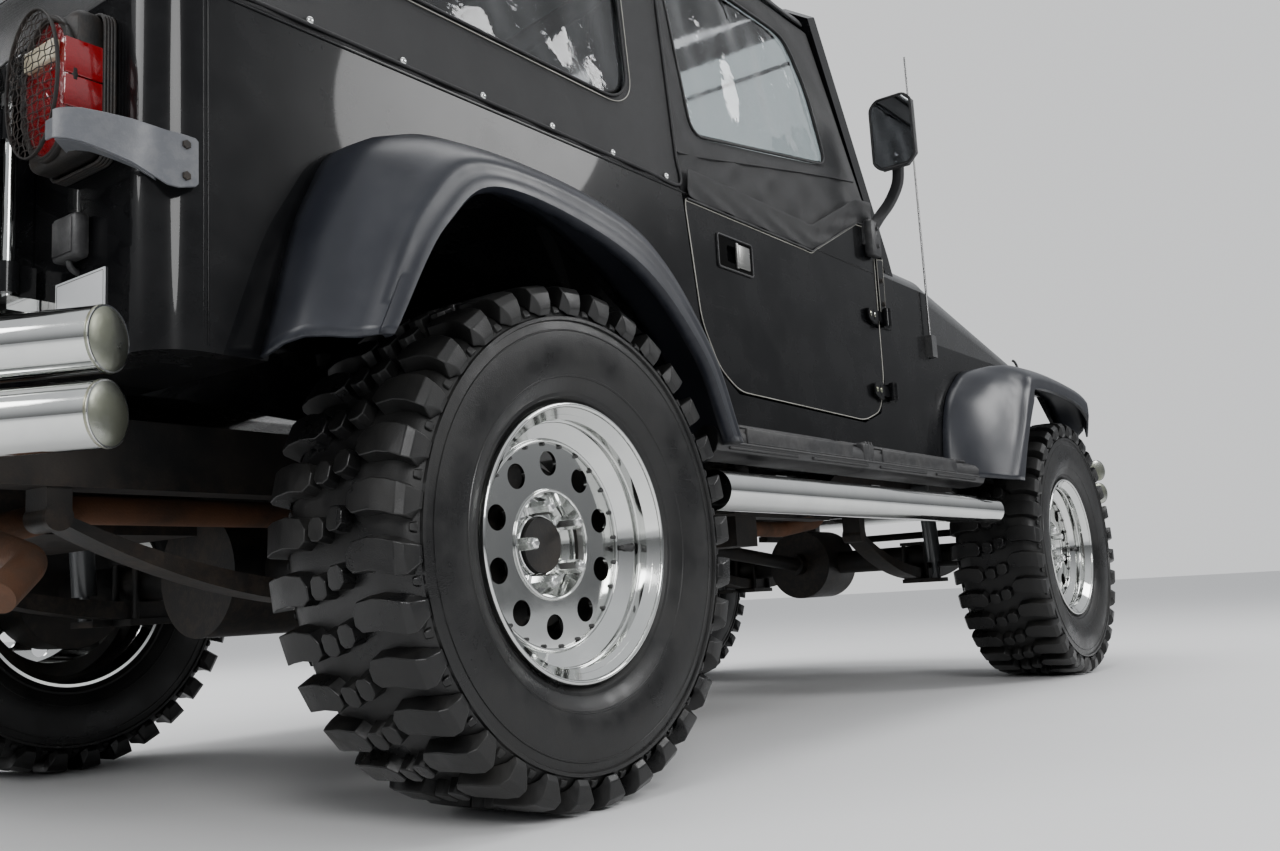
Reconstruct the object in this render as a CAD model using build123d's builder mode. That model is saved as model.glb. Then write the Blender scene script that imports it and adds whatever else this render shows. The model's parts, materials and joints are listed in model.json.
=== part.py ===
from build123d import *
from math import cos, radians, sin, tan
import os

os.makedirs("parts", exist_ok=True)

# Frame: X forward, Y to the left, Z up, origin on the ground under the middle.
# Millimetres and degrees.

# Running gear
wheelbase = 2373
track = 1428
tyre_radius = 385
tyre_width = 268
tread_depth = 21
lug_count = 32  # shoulder blocks on each side
lip_radius = 207.5  # outer edge of the rim's flange
rim_width = 216  # outside the two flanges
barrel_radius = 184  # inside of the rim's barrel
disc_depth = 58  # from the outer flange in to the disc's face
hub_depth = 85  # from the outer flange in to the hub's face
hub_bore = 84
stud_circle = 114.3
stud_count = 5
front_overhang = 628  # front axle to the front bumper's face
rear_overhang = 919  # rear axle to the spare tyre's face
spare_z = 1035

# Body
body_half_width = 715
wall = 22
gap = 6  # round doors, bonnet and tailgate
clearance = 0.3  # between seated pieces
tub_bottom = 614
floor_top = 640
belt = 1078
hood_line = 945  # where the bonnet and the cowl's upper half begin
cowl_top = 1160
roof_edge = 1742
roof_crown = 1850
roof_half_width = 668
tub_rear = 615  # behind the rear axle
door_rear = 495  # this and the next three are ahead of the rear axle
door_front = 1350
cowl_rear = 1362
cowl_front = 1665
corner_radius = 60
flare_half_width = 867
windscreen_rake = 24
house_y = 420  # inner face of the wheel houses
tailgate_half = 430
tailgate_bottom = 655

# Tubes
tube = 72
bumper_spacing = 79
bumper_half_width = 785
bumper_sweep = 27
bumper_end_length = 170
rear_bumper_top_tube = 594
front_bumper_top_tube = 652
side_tube_y = 800
side_tube_z = 480

# Chassis
rail_y = 332
rail_width = 62
rail_height = 100
rail_z = 540
rail_raise = 65
spring_y = 328
spring_width = 60
axle_tube = 76
kingpin_y = 585
steering_arm = 165

axle_z = tyre_radius
rear_axle_x = -(wheelbase + front_overhang - rear_overhang) / 2
front_axle_x = rear_axle_x + wheelbase
tub_rear_x = rear_axle_x - tub_rear
door_rear_x = rear_axle_x + door_rear
door_front_x = rear_axle_x + door_front
cowl_rear_x = rear_axle_x + cowl_rear
cowl_front_x = rear_axle_x + cowl_front
bonnet_rear_x = cowl_front_x + gap
grille_x = front_axle_x + 430
sides = (("left", 1), ("right", -1))


def write(name, part):
    part.label = name
    export_step(part, f"parts/{name}.step")


def side_plane(y):
    """Sketch X is the vehicle's X and sketch Y its Z; it faces to the right."""
    return Plane(origin=(0, y, 0), x_dir=(1, 0, 0), z_dir=(0, -1, 0))


def pair(side, near, far):
    """Low and high Y of a stretch that lies between two distances from the middle."""
    return tuple(sorted((side * near, side * far)))


def block(x, y, z, mode=Mode.ADD):
    """A box from three pairs, each a low and a high coordinate."""
    with Locations(((x[0] + x[1]) / 2, (y[0] + y[1]) / 2, (z[0] + z[1]) / 2)):
        Box(x[1] - x[0], y[1] - y[0], z[1] - z[0], mode=mode)


def rod(start, end, radius, mode=Mode.ADD):
    """A round bar from one point to another."""
    run = Vector(*end) - Vector(*start)
    with Locations(Plane(origin=start, z_dir=run)):
        Cylinder(radius, run.length, align=(Align.CENTER, Align.CENTER, Align.MIN), mode=mode)


def bent_tube(points, bend, radius):
    """A round tube along straight runs joined by arcs of radius bend."""
    with BuildLine(mode=Mode.PRIVATE) as route:
        FilletPolyline(*points, radius=bend)
    with BuildSketch(Plane(origin=route.line @ 0, z_dir=route.line % 0), mode=Mode.PRIVATE) as end:
        Circle(radius)
    sweep(end.sketch, path=route.line)


def outline_prism(plane, points, amount, mode=Mode.ADD, grow=0):
    """A straight-sided outline pushed out of its plane."""
    with BuildSketch(plane, mode=Mode.PRIVATE) as outline:
        with BuildLine():
            Polyline(*points, close=True)
        make_face()
        if grow:
            offset(amount=grow, kind=Kind.INTERSECTION)
    extrude(outline.sketch, amount=amount, mode=mode)


# Tyre and rim, turned about Z with the wheel's face up
half_tread = tyre_width / 2
flange = rim_width / 2
bead = lip_radius - 17
# The tyre is faceted, a facet for each lug; its sides are flat between these radii
groove_radius = tyre_radius - tread_depth
sidewall_radius = lip_radius + 55
bead_reach = flange - 22
lug_start = 12  # distance from the tyre's middle at which the lugs begin
middle_radius = groove_radius - 5
shoulder_radius = tyre_radius - 19
lug_half_angle = 3.3
# As a share of a step; it brings a corner of a lug to the ground
lug_start_angle = 0.5 - lug_half_angle * lug_count / 360


def facets(radius, z):
    """Corners of the ring of facets whose flats lie at a radius, set down at a height."""
    step = radians(360 / lug_count)
    corner = radius / cos(step / 2)
    return [(corner * cos(n * step), corner * sin(n * step), z) for n in range(lug_count)]


def tread_outline(radius, z, start):
    """The outline of the lugs: two corners at each tip and one in each groove."""
    step = 360 / lug_count
    corners = []
    for n in range(lug_count):
        groove = radians((n + start) * step)
        corners.append((groove, radius * groove_radius / tyre_radius))
        for way in (-1, 1):
            corners.append((groove + radians(step / 2 + way * lug_half_angle), radius))
    return [(r * cos(angle), r * sin(angle), z) for angle, r in corners]


def lofted(*outlines, mode=Mode.ADD):
    """Straight-sided body through outlines of equally many corners, one above the other."""
    with BuildPart(mode=Mode.PRIVATE) as body:
        for outline in outlines:
            with BuildSketch(Plane.XY.offset(outline[0][2])):
                with BuildLine():
                    Polyline(*[(x, y) for x, y, _ in outline], close=True)
                make_face()
        loft(ruled=True)
    add(body.part, mode=mode)


rim_section = [
    (lip_radius, flange),
    (lip_radius, flange - 9),
    (bead, flange - 13),
    (bead - 1, flange - 60),
    (barrel_radius - 22, 30),
    (barrel_radius - 22, -30),
    (bead - 1, -flange + 60),
    (bead, -flange + 13),
    (lip_radius, -flange + 9),
    (lip_radius, -flange),
    (lip_radius - 6, -flange),
    (bead - 6, -flange + 16),
    (bead - 6, -flange + 62),
    (barrel_radius - 28, -30),
    (barrel_radius - 28, flange - disc_depth - 6),
    (hub_bore / 2 + 45, flange - disc_depth - 6),
    (hub_bore / 2 + 37, flange - hub_depth - 5),
    (hub_bore / 2, flange - hub_depth - 5),
    (hub_bore / 2, flange - hub_depth),
    (hub_bore / 2 + 32, flange - hub_depth),
    (hub_bore / 2 + 40, flange - disc_depth),
    (barrel_radius - 28, flange - disc_depth),
    (bead - 6, flange - 40),
    (bead - 6, flange - 16),
    (lip_radius - 6, flange),
]
window_circle = 123
window_radius = 19
window_count = 10
stud_hole = 7

with BuildPart() as tyre:
    for way, start in ((1, lug_start_angle), (-1, lug_start_angle + 0.5)):
        lofted(
            tread_outline(tyre_radius, way * lug_start, start),
            tread_outline(shoulder_radius, way * half_tread, start),
        )
    lofted(facets(middle_radius, -lug_start), facets(middle_radius, lug_start))
    for way in (1, -1):
        lofted(
            facets(bead + clearance, way * bead_reach),
            facets(sidewall_radius, way * half_tread),
            mode=Mode.SUBTRACT,
        )
    lofted(facets(bead + clearance, -bead_reach), facets(bead + clearance, bead_reach), mode=Mode.SUBTRACT)
with BuildPart() as rim:
    with BuildSketch(Plane.XZ):
        with BuildLine():
            Polyline(*rim_section, close=True)
        make_face()
    revolve(axis=Axis.Z)
    with BuildSketch(Plane.XY.offset(flange - disc_depth + 1)):
        with PolarLocations(window_circle, window_count):
            Circle(window_radius)
    extrude(amount=-20, mode=Mode.SUBTRACT)
    with BuildSketch(Plane.XY.offset(flange - hub_depth + 1)):
        with PolarLocations(stud_circle / 2, stud_count, start_angle=18):
            Circle(stud_hole)
    extrude(amount=-8, mode=Mode.SUBTRACT)

spare_x = rear_axle_x - rear_overhang + half_tread
wheels = [
    ("rear_left", (rear_axle_x, track / 2, axle_z), (0, 1, 0)),
    ("rear_right", (rear_axle_x, -track / 2, axle_z), (0, -1, 0)),
    ("front_left", (front_axle_x, track / 2, axle_z), (0, 1, 0)),
    ("front_right", (front_axle_x, -track / 2, axle_z), (0, -1, 0)),
    ("spare", (spare_x, 0, spare_z), (-1, 0, 0)),
]
for place, centre, out in wheels:
    stand = Plane(origin=centre, x_dir=(0, 0, 1), z_dir=out).location
    write(f"{place}_tyre", stand * tyre.part)
    write(f"{place}_rim", stand * rim.part)

# Ladder frame: two rails kicked up ahead of the cowl, with cross-members and body mounts
rail_rear_x = rear_axle_x - 700
rail_front_x = front_axle_x + 500
rail_low = rail_z - rail_height / 2
rail_top = rail_z + rail_height / 2
rail_inner = rail_y - rail_width / 2
rail_outer = rail_y + rail_width / 2
rail_path = [
    (rail_rear_x, rail_z),
    (cowl_front_x + 10, rail_z),
    (cowl_front_x + 130, rail_z + rail_raise),
    (rail_front_x, rail_z + rail_raise),
]
gearbox_low = 445
# Columns: x, middle z, length along the vehicle
crossmembers = [
    (rail_rear_x + 30, rail_z, 60),
    (rear_axle_x - 160, rail_z + 20, 50),
    (rear_axle_x + 520, rail_z + 10, 60),
    (rail_front_x - 60, rail_z + rail_raise - 10, 60),
]
mount_xs = [rear_axle_x - 560, rear_axle_x + 60, rear_axle_x + 620, rear_axle_x + 1250]
skid_x = rear_axle_x + 1230
with BuildPart() as frame:
    for _, side in sides:
        outline_prism(
            side_plane(side * rail_outer),
            [(x, z - rail_height / 2) for x, z in rail_path]
            + [(x, z + rail_height / 2) for x, z in reversed(rail_path)],
            side * rail_width,
        )
        block((skid_x - 50, skid_x + 50), pair(side, rail_inner - 40, rail_outer - 5), (gearbox_low - 30, rail_low + 1))
        for x in mount_xs:
            rod((x, side * rail_y, rail_top - 1), (x, side * rail_y, tub_bottom), 28)
    for x, z, length in crossmembers:
        block((x - length / 2, x + length / 2), (-rail_y, rail_y), (z - 30, z + 30))
    block((skid_x - 50, skid_x + 50), (-rail_inner, rail_inner), (gearbox_low - 30, gearbox_low - clearance))
write("frame", frame.part)

# Arch of each flare: outlines at the body, at the ridge and at the lip.
# Columns: x from the axle and z from the wheel's centre, at root, ridge, lip.
rear_arch = [
    ((-475, 232), (-440, 240), (-397, 247)),
    ((-405, 455), (-345, 440), (-300, 410)),
    ((-300, 548), (-215, 535), (-180, 488)),
    ((70, 535), (140, 510), (110, 447)),
    ((340, 392), (335, 350), (290, 322)),
    ((455, 175), (430, 174), (377, 173)),
]
front_arch = [
    ((-700, 180), (-560, 178), (-496, 177)),
    ((-670, 346), (-450, 330), (-432, 290)),
    ((-590, 450), (-375, 450), (-345, 410)),
    ((-400, 515), (-290, 505), (-280, 462)),
    ((200, 510), (150, 490), (110, 452)),
    ((420, 360), (330, 400), (300, 365)),
]
root_y = body_half_width + clearance
ridge_y = flare_half_width - 17
sheet = 7


def arch_outline(rows, column, axle_x, inset=0, drop=0):
    """Outline of one column of an arch table, pulled inwards by inset, its feet lowered by drop."""
    centre_x = sum(row[column][0] for row in rows) / len(rows)
    points = []
    for row in rows:
        x, z = row[column]
        pull = 1 - inset / ((x - centre_x) ** 2 + z**2) ** 0.5
        points.append((axle_x + centre_x + (x - centre_x) * pull, axle_z + z * pull))
    if drop:
        points.insert(0, (points[0][0], points[0][1] - drop))
        points.append((points[-1][0], points[-1][1] - drop))
    return points


def arch_solid(rows, axle_x, side, inset=0, reach=0, drop=0):
    """Root to ridge to lip, filled; reach lets a cutter run past both faces."""
    stations = [(0, root_y - reach), (1, ridge_y), (2, flare_half_width + reach)]
    with BuildPart(mode=Mode.PRIVATE) as made:
        for near, far in zip(stations, stations[1:]):
            for column, y in (near, far):
                with BuildSketch(side_plane(side * y)):
                    with BuildLine():
                        Polyline(*arch_outline(rows, column, axle_x, inset, drop), close=True)
                    make_face()
            loft(ruled=True)
    return made.part


# Flares, with the side step between them at the sill
step_top = tub_bottom - 3
step_bottom = 548
step_y = 792
step_section = [
    (root_y, step_top),
    (step_y - 10, step_top),
    (step_y, step_top - 12),
    (step_y, step_bottom + 14),
    (step_y - 14, step_bottom),
    (root_y, step_bottom),
]
step_rear_x = rear_axle_x + 440
step_front_x = front_axle_x - 600
# Columns: x ahead of the front axle and y of the corner cut off the front flare
flare_corner = [(195, flare_half_width + 40), (195, flare_half_width), (430, 775), (470, flare_half_width + 40)]
with BuildPart() as flares:
    for _, side in sides:
        for rows, axle_x in ((rear_arch, rear_axle_x), (front_arch, front_axle_x)):
            add(arch_solid(rows, axle_x, side))
            add(arch_solid(rows, axle_x, side, sheet, 3, 60), mode=Mode.SUBTRACT)
        corner = [(front_axle_x + x, side * y) for x, y in flare_corner]
        outline_prism(Plane.XY, corner, 1200, Mode.SUBTRACT)
        outline_prism(
            Plane.YZ.offset(step_rear_x), [(side * y, z) for y, z in step_section], step_front_x - step_rear_x
        )
write("flares", flares.part)

# Half sections of the bonnet and the cowl.
# Columns: y and z at the foot, the side's top, the shoulder and the crown.
shoulder_y = 622
bonnet_rear = [(body_half_width - 4, hood_line), (body_half_width - 4, 1052), (shoulder_y, 1140), (0, cowl_top)]
bonnet_front = [(565, 955), (565, 1010), (505, 1062), (0, 1082)]
cowl_section = [(body_half_width, belt - 60), (body_half_width, 1052), (shoulder_y, 1140), (0, cowl_top)]
bonnet_sheet = 26


def crowned(section, inset=0):
    """The closed section of a crowned box; inset gives its inner face."""
    (edge_y, low), (_, side_top), (top_y, top_z), (_, crown) = section
    edge_y = edge_y - inset
    side_top = side_top - inset / 2
    top_y = top_y - inset
    top_z = top_z - inset
    crown = crown - inset
    middle_y = top_y + 0.72 * (edge_y - top_y)
    middle_z = side_top + 0.68 * (top_z - side_top)
    with BuildLine(mode=Mode.PRIVATE) as outline:
        Line((-edge_y, low), (edge_y, low))
        Line((edge_y, low), (edge_y, side_top))
        ThreePointArc((edge_y, side_top), (middle_y, middle_z), (top_y, top_z))
        ThreePointArc((top_y, top_z), (0, crown), (-top_y, top_z))
        ThreePointArc((-top_y, top_z), (-middle_y, middle_z), (-edge_y, side_top))
        Line((-edge_y, side_top), (-edge_y, low))
    return outline.line


def section_face(outline):
    """Fills a closed line in the sketch that is being built."""
    make_face(outline.edges())


# Door outline, for the doors and for their openings in the tub.
# Columns: x ahead of the rear axle, z above the ground.
sill = 690
door_top = belt - 6
door_rise = [(1010, door_top), (1262, 1198), (door_front, 1210)]
door_outline = [
    (door_rear, door_top),
    (door_rear + 37, 824),
    (door_rear + 90, sill + 48),
    (door_rear + 160, sill + 8),
    (door_front - 130, sill),
    (door_front - 40, sill + 30),
    (door_front - 6, sill + 110),
] + door_rise[::-1]
door_points = [(rear_axle_x + x, z) for x, z in door_outline]
door_thick = 46
hinge_x = door_front_x + 8
hinge_y = body_half_width + 18
hinge_heights = (770, 960)
hinge_barrel = 11
hinge_pin = 5
hinge_tall = 44
hinge_play = 0.05
ear = 8

# Bonnet hinges on the cowl
bonnet_hinge_x = cowl_front_x + gap / 2
bonnet_hinge_y = 430
bonnet_hinge_z = cowl_top + 5
bonnet_barrel = 9
bonnet_pin = 4
bonnet_leaf = 24

# Tub: floor, sides, rear panels, wheel houses, cowl and firewall
tub_length = cowl_front_x - tub_rear_x
tub_middle_x = (cowl_front_x + tub_rear_x) / 2
with BuildPart() as tub:
    with BuildSketch(Plane.XY.offset(tub_bottom)):
        with Locations((tub_middle_x, 0)):
            Rectangle(tub_length, 2 * body_half_width)
        fillet(vertices().group_by(Axis.X)[0], corner_radius)
    extrude(amount=belt - tub_bottom)
    with BuildSketch(Plane.YZ.offset(cowl_rear_x)):
        section_face(crowned(cowl_section))
    extrude(amount=cowl_front_x - cowl_rear_x)
    with BuildSketch(Plane.YZ.offset(cowl_rear_x - 1)):
        section_face(crowned(cowl_section, wall))
    extrude(amount=cowl_front_x - cowl_rear_x - wall + 1, mode=Mode.SUBTRACT)
    with BuildSketch(Plane.XY.offset(floor_top)):
        with Locations((tub_middle_x, 0)):
            Rectangle(tub_length - 2 * wall, 2 * (body_half_width - wall))
        fillet(vertices().group_by(Axis.X)[0], corner_radius - wall)
    extrude(amount=belt - floor_top, mode=Mode.SUBTRACT)
    for _, side in sides:
        outline_prism(
            side_plane(side * (body_half_width - wall / 2)),
            arch_outline(rear_arch, 0, rear_axle_x, -4),
            side * (body_half_width - wall / 2 - house_y),
        )
        outline_prism(
            side_plane(side * (body_half_width + 5)),
            arch_outline(rear_arch, 0, rear_axle_x, sheet + 3, 140),
            side * (body_half_width + 5 - house_y - sheet),
            Mode.SUBTRACT,
        )
        outline_prism(
            side_plane(side * (body_half_width + 5)), door_points, side * (wall + 60), Mode.SUBTRACT, gap
        )
        for z in hinge_heights:
            low, high = z - hinge_tall / 2, z + hinge_tall / 2
            block((hinge_x + 4, hinge_x + 52), pair(side, body_half_width - 1, body_half_width + 6), (low, high))
            rod((hinge_x, side * hinge_y, low), (hinge_x, side * hinge_y, high), hinge_pin)
            for foot in (low, high - ear):
                rod((hinge_x, side * hinge_y, foot), (hinge_x, side * hinge_y, foot + ear), hinge_barrel)
                block((hinge_x + 2, hinge_x + 22), pair(side, body_half_width - 1, hinge_y), (foot, foot + ear))
        near, far = side * (bonnet_hinge_y - bonnet_leaf), side * (bonnet_hinge_y + bonnet_leaf)
        rod((bonnet_hinge_x, near, bonnet_hinge_z), (bonnet_hinge_x, far, bonnet_hinge_z), bonnet_pin)
        for end, inward in ((near, side), (far, -side)):
            span = tuple(sorted((end, end + inward * ear)))
            rod((bonnet_hinge_x, span[0], bonnet_hinge_z), (bonnet_hinge_x, span[1], bonnet_hinge_z), bonnet_barrel)
            block((cowl_front_x - 26, bonnet_hinge_x - 3), span, (cowl_top - 24, bonnet_hinge_z + 4))
    block(
        (tub_rear_x - 5, tub_rear_x + wall + 5),
        (-tailgate_half, tailgate_half),
        (tailgate_bottom, belt + 5),
        Mode.SUBTRACT,
    )
write("tub", tub.part)

# Bonnet: crowned, tapered and hollow, hinged at the cowl
bonnet_slant = 24
with BuildPart() as bonnet:
    for inset, reach in ((0, 0), (bonnet_sheet, 1)):
        for section, x in ((bonnet_rear, bonnet_rear_x - reach), (bonnet_front, grille_x + reach)):
            lowered = [(section[0][0], section[0][1] - reach)] + section[1:]
            with BuildSketch(Plane.YZ.offset(x)):
                section_face(crowned(lowered, inset))
        loft(ruled=True, mode=Mode.SUBTRACT if inset else Mode.ADD)
    outline_prism(
        side_plane(900),
        [
            (grille_x, bonnet_front[3][1]),
            (grille_x - bonnet_slant, bonnet_front[0][1] - 5),
            (grille_x + 5, bonnet_front[0][1] - 5),
            (grille_x + 5, bonnet_front[3][1]),
        ],
        1800,
        Mode.SUBTRACT,
    )
    for _, side in sides:
        span = pair(side, bonnet_hinge_y - bonnet_leaf + ear + 1, bonnet_hinge_y + bonnet_leaf - ear - 1)
        low, high = (bonnet_hinge_x, span[0], bonnet_hinge_z), (bonnet_hinge_x, span[1], bonnet_hinge_z)
        rod(low, high, bonnet_barrel)
        block((bonnet_hinge_x + 1, bonnet_hinge_x + 54), span, (cowl_top - 22, bonnet_hinge_z - 2))
        rod(low, high, bonnet_pin + hinge_play, Mode.SUBTRACT)
write("bonnet", bonnet.part)

# Fenders: side panel, flat top and inner apron on each side
fender_sheet = 12
apron_y = 425
fender_front_x = grille_x + gap - clearance
fender_top = hood_line - 1
fender_rear_x = cowl_front_x + clearance
with BuildPart() as fenders:
    for _, side in sides:
        block(
            (fender_rear_x, fender_front_x), pair(side, apron_y, body_half_width), (fender_top - fender_sheet, fender_top)
        )
        outline_prism(
            side_plane(side * body_half_width),
            [
                (fender_rear_x, tub_bottom),
                (fender_rear_x, fender_top),
                (fender_front_x, fender_top),
                (fender_front_x, axle_z + 330),
            ],
            side * fender_sheet,
        )
        outline_prism(
            side_plane(side * (body_half_width + 5)),
            arch_outline(front_arch, 0, front_axle_x, sheet + 3, 200),
            side * (fender_sheet + 10),
            Mode.SUBTRACT,
        )
        block(
            (fender_rear_x, fender_front_x), pair(side, apron_y, apron_y + fender_sheet), (axle_z + 290, fender_top - 1)
        )
write("fenders", fenders.part)

# Grille panel: upright slots between two rectangular lamps
grille_depth = 46
slot_count = 6
slot_width = 34
slot_pitch = 62
slot_height = 300
slot_z = 855
lamp_y = 428
lamp_z = 905
lamp_wide = 170
lamp_tall = 112
lamp_round = 14
grille_low = rail_z + rail_raise + rail_height / 2 + clearance
grille_back_x = grille_x + gap
grille_front_x = grille_back_x + grille_depth
with BuildPart() as grille:
    with BuildSketch(Plane.YZ.offset(grille_back_x)):
        section_face(crowned([(bonnet_front[0][0], grille_low)] + bonnet_front[1:]))
        with Locations((0, slot_z)):
            with GridLocations(slot_pitch, 1, slot_count, 1):
                SlotOverall(slot_height, slot_width, rotation=90, mode=Mode.SUBTRACT)
        for _, side in sides:
            with Locations((side * lamp_y, lamp_z)):
                RectangleRounded(lamp_wide, lamp_tall, lamp_round, mode=Mode.SUBTRACT)
    extrude(amount=grille_depth)
write("grille", grille.part)

turn_lamp_drop = 115
with BuildPart() as front_lamps:
    for _, side in sides:
        with BuildSketch(Plane.YZ.offset(grille_back_x + 6)):
            with Locations((side * lamp_y, lamp_z)):
                RectangleRounded(lamp_wide - 2 * clearance, lamp_tall - 2 * clearance, lamp_round)
        extrude(amount=grille_depth)
        with BuildSketch(Plane.YZ.offset(grille_front_x + clearance)):
            with Locations((side * lamp_y, lamp_z - turn_lamp_drop)):
                RectangleRounded(120, 50, 12)
        extrude(amount=22)
write("front_lamps", front_lamps.part)

with BuildPart() as radiator:
    block((grille_x - 62, grille_back_x - clearance), (-300, 300), (rail_z + rail_raise + 52, hood_line + 40))
write("radiator", radiator.part)

# Engine with gearbox and transfer case, one plain block
engine_rear_x = cowl_front_x + 25
with BuildPart() as engine:
    block((engine_rear_x, front_axle_x + 250), (-230, 230), (575, 960))
    block((engine_rear_x - 120, engine_rear_x + 10), (-190, 190), (500, 605))
    block((engine_rear_x - 560, engine_rear_x - 110), (-130, 112), (gearbox_low, 600))
    block((engine_rear_x - 560, engine_rear_x - 330), (-130, 200), (gearbox_low, 560))
write("engine", engine.part)

# Windscreen frame and glass, raked back from the cowl and a little narrower at the top
screen_foot_half = 700
screen_top_half = 672
screen_thick = 42
screen_foot_z = 1143
screen_foot_x = rear_axle_x + 1472
screen_top_z = roof_edge + 28
screen_length = (screen_top_z - screen_foot_z) / cos(radians(windscreen_rake))
screen_side = 55
screen_foot_bar = 95
screen_head_bar = 60
screen_corner = 40
screen_skirt = 70
screen_plane = Plane(
    origin=(screen_foot_x, 0, screen_foot_z),
    x_dir=(0, 1, 0),
    z_dir=(cos(radians(windscreen_rake)), 0, sin(radians(windscreen_rake))),
)


def screen_opening(inset):
    """The four corners of the glass, in the screen's own plane."""
    low = screen_foot_bar + inset
    high = screen_length - screen_head_bar - inset
    low_half = screen_foot_half - screen_side - inset
    high_half = screen_top_half - screen_side - inset
    with BuildLine(mode=Mode.PRIVATE) as outline:
        Polyline((-low_half, low), (low_half, low), (high_half, high), (-high_half, high), close=True)
    return outline.line


with BuildPart() as windscreen_frame:
    with BuildSketch(screen_plane):
        with BuildLine():
            Polyline(
                (-screen_foot_half, -screen_skirt),
                (screen_foot_half, -screen_skirt),
                (screen_foot_half, 0),
                (screen_top_half, screen_length - 45),
                (screen_top_half - 70, screen_length),
                (-screen_top_half + 70, screen_length),
                (-screen_top_half, screen_length - 45),
                (-screen_foot_half, 0),
                close=True,
            )
        make_face()
    extrude(amount=-screen_thick)
    with BuildSketch(screen_plane):
        section_face(screen_opening(0))
        fillet(vertices(), screen_corner)
    extrude(amount=-screen_thick, mode=Mode.SUBTRACT)
    with BuildSketch(Plane.YZ.offset(cowl_rear_x)):
        section_face(crowned(cowl_section, -clearance))
    extrude(amount=cowl_front_x - cowl_rear_x, mode=Mode.SUBTRACT)
write("windscreen_frame", windscreen_frame.part)
with BuildPart() as windscreen_glass:
    with BuildSketch(screen_plane.offset(-16)):
        section_face(screen_opening(clearance))
        fillet(vertices(), screen_corner)
    extrude(amount=-6)
write("windscreen_glass", windscreen_glass.part)

# Soft top: one thin shell over hoops, open at the doors and at the front
cloth = 10
screen_lean = tan(radians(windscreen_rake))
roof_front_x = screen_foot_x - (screen_top_z - screen_foot_z) * screen_lean - screen_thick - 6
roof_rear_top_x = rear_axle_x - 480
top_low = belt + clearance
front_drop = 62


def top_section(inset, drop):
    """Section across the soft top; drop lowers its crown towards the windscreen."""
    foot = body_half_width - 1 - inset
    edge = roof_half_width - inset
    eave = roof_edge - 60
    crown = roof_crown - inset - drop
    round_z = roof_edge + 30 - inset - drop / 2
    with BuildLine(mode=Mode.PRIVATE) as outline:
        Line((-foot, top_low), (foot, top_low))
        Line((foot, top_low), (edge, eave))
        ThreePointArc((edge, eave), (edge - 20, eave + 56 - inset), (edge - 80, round_z))
        ThreePointArc((edge - 80, round_z), (0, crown), (-edge + 80, round_z))
        ThreePointArc((-edge + 80, round_z), (-edge + 20, eave + 56 - inset), (-edge, eave))
        Line((-edge, eave), (-foot, top_low))
    return outline.line


def top_solid(inset, reach):
    """The filled soft top, with its back sloping up from the tub."""
    with BuildPart(mode=Mode.PRIVATE) as made:
        for x, drop in ((tub_rear_x, 0), (roof_front_x + reach, front_drop)):
            with BuildSketch(Plane.YZ.offset(x)):
                section_face(top_section(inset, drop))
        loft(ruled=True)
        outline_prism(
            side_plane(900),
            [
                (tub_rear_x - 5, belt - 5),
                (tub_rear_x + inset, belt - 5),
                (roof_rear_top_x + inset, roof_crown + 5),
                (tub_rear_x - 5, roof_crown + 5),
            ],
            1800,
            Mode.SUBTRACT,
        )
    return made.part


# The doors' soft uppers lie in the sloping side of the top.
upper_thick = 20
side_lean = (body_half_width - 1 - roof_half_width) / (roof_edge - 60 - top_low)
slope = (1 + side_lean**2) ** 0.5
# Columns: x ahead of the rear axle, z above the ground.
screen_back_x = screen_foot_x - rear_axle_x - screen_thick / cos(radians(windscreen_rake)) - 8


def screen_back(z):
    """How far ahead of the rear axle the uppers may reach at a height."""
    return screen_back_x - (z - screen_foot_z) * screen_lean


upper_top = roof_edge - 66
upper_low = [(door_rear, door_top)] + door_rise
upper_seat = clearance + upper_thick * side_lean
upper_outline = [(x, z + upper_seat) for x, z in upper_low] + [
    (screen_back(1214), 1214),
    (screen_back(upper_top), upper_top),
    (480, upper_top),
    (450, upper_top - 24),
]
upper_window = [(560, 1215), (1170, 1320), (1120, 1500), (1050, 1600), (1000, 1615), (530, 1615), (512, 1560)]
quarter_window = [(-290, 1210), (300, 1210), (345, 1245), (350, 1560), (320, 1610), (-230, 1610), (-330, 1300)]
rear_window = [(-470, 1200), (470, 1200), (440, 1600), (-440, 1600)]
film = 3


def ahead(points):
    return [(rear_axle_x + x, z) for x, z in points]


with BuildPart() as soft_top:
    add(top_solid(0, 0))
    add(top_solid(cloth, 5), mode=Mode.SUBTRACT)
    outline_prism(side_plane(900), ahead(upper_outline), 1800, Mode.SUBTRACT, gap)
    outline_prism(side_plane(900), door_points, 1800, Mode.SUBTRACT, gap)
    outline_prism(side_plane(900), ahead(quarter_window), 1800, Mode.SUBTRACT)
    outline_prism(Plane.YZ.offset(tub_rear_x - 10), rear_window, 200, Mode.SUBTRACT)
write("soft_top", soft_top.part)

with BuildPart(mode=Mode.PRIVATE) as window_holes:
    outline_prism(side_plane(900), ahead(quarter_window), 1800, Mode.ADD, -clearance)
    outline_prism(Plane.YZ.offset(tub_rear_x - 10), rear_window, 200, Mode.ADD, -clearance)
with BuildPart() as top_windows:
    add(top_solid((cloth - film) / 2, 0))
    add(top_solid((cloth + film) / 2, 5), mode=Mode.SUBTRACT)
    add(window_holes.part, mode=Mode.INTERSECT)
write("top_windows", top_windows.part)

# Doors: steel slab with hinge leaves, soft upper, clear window and mirror
handle_x = 672
handle_z = 983
handle_wide = 62
handle_tall = 40
handle_deep = 14
leaf_long = 60
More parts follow.
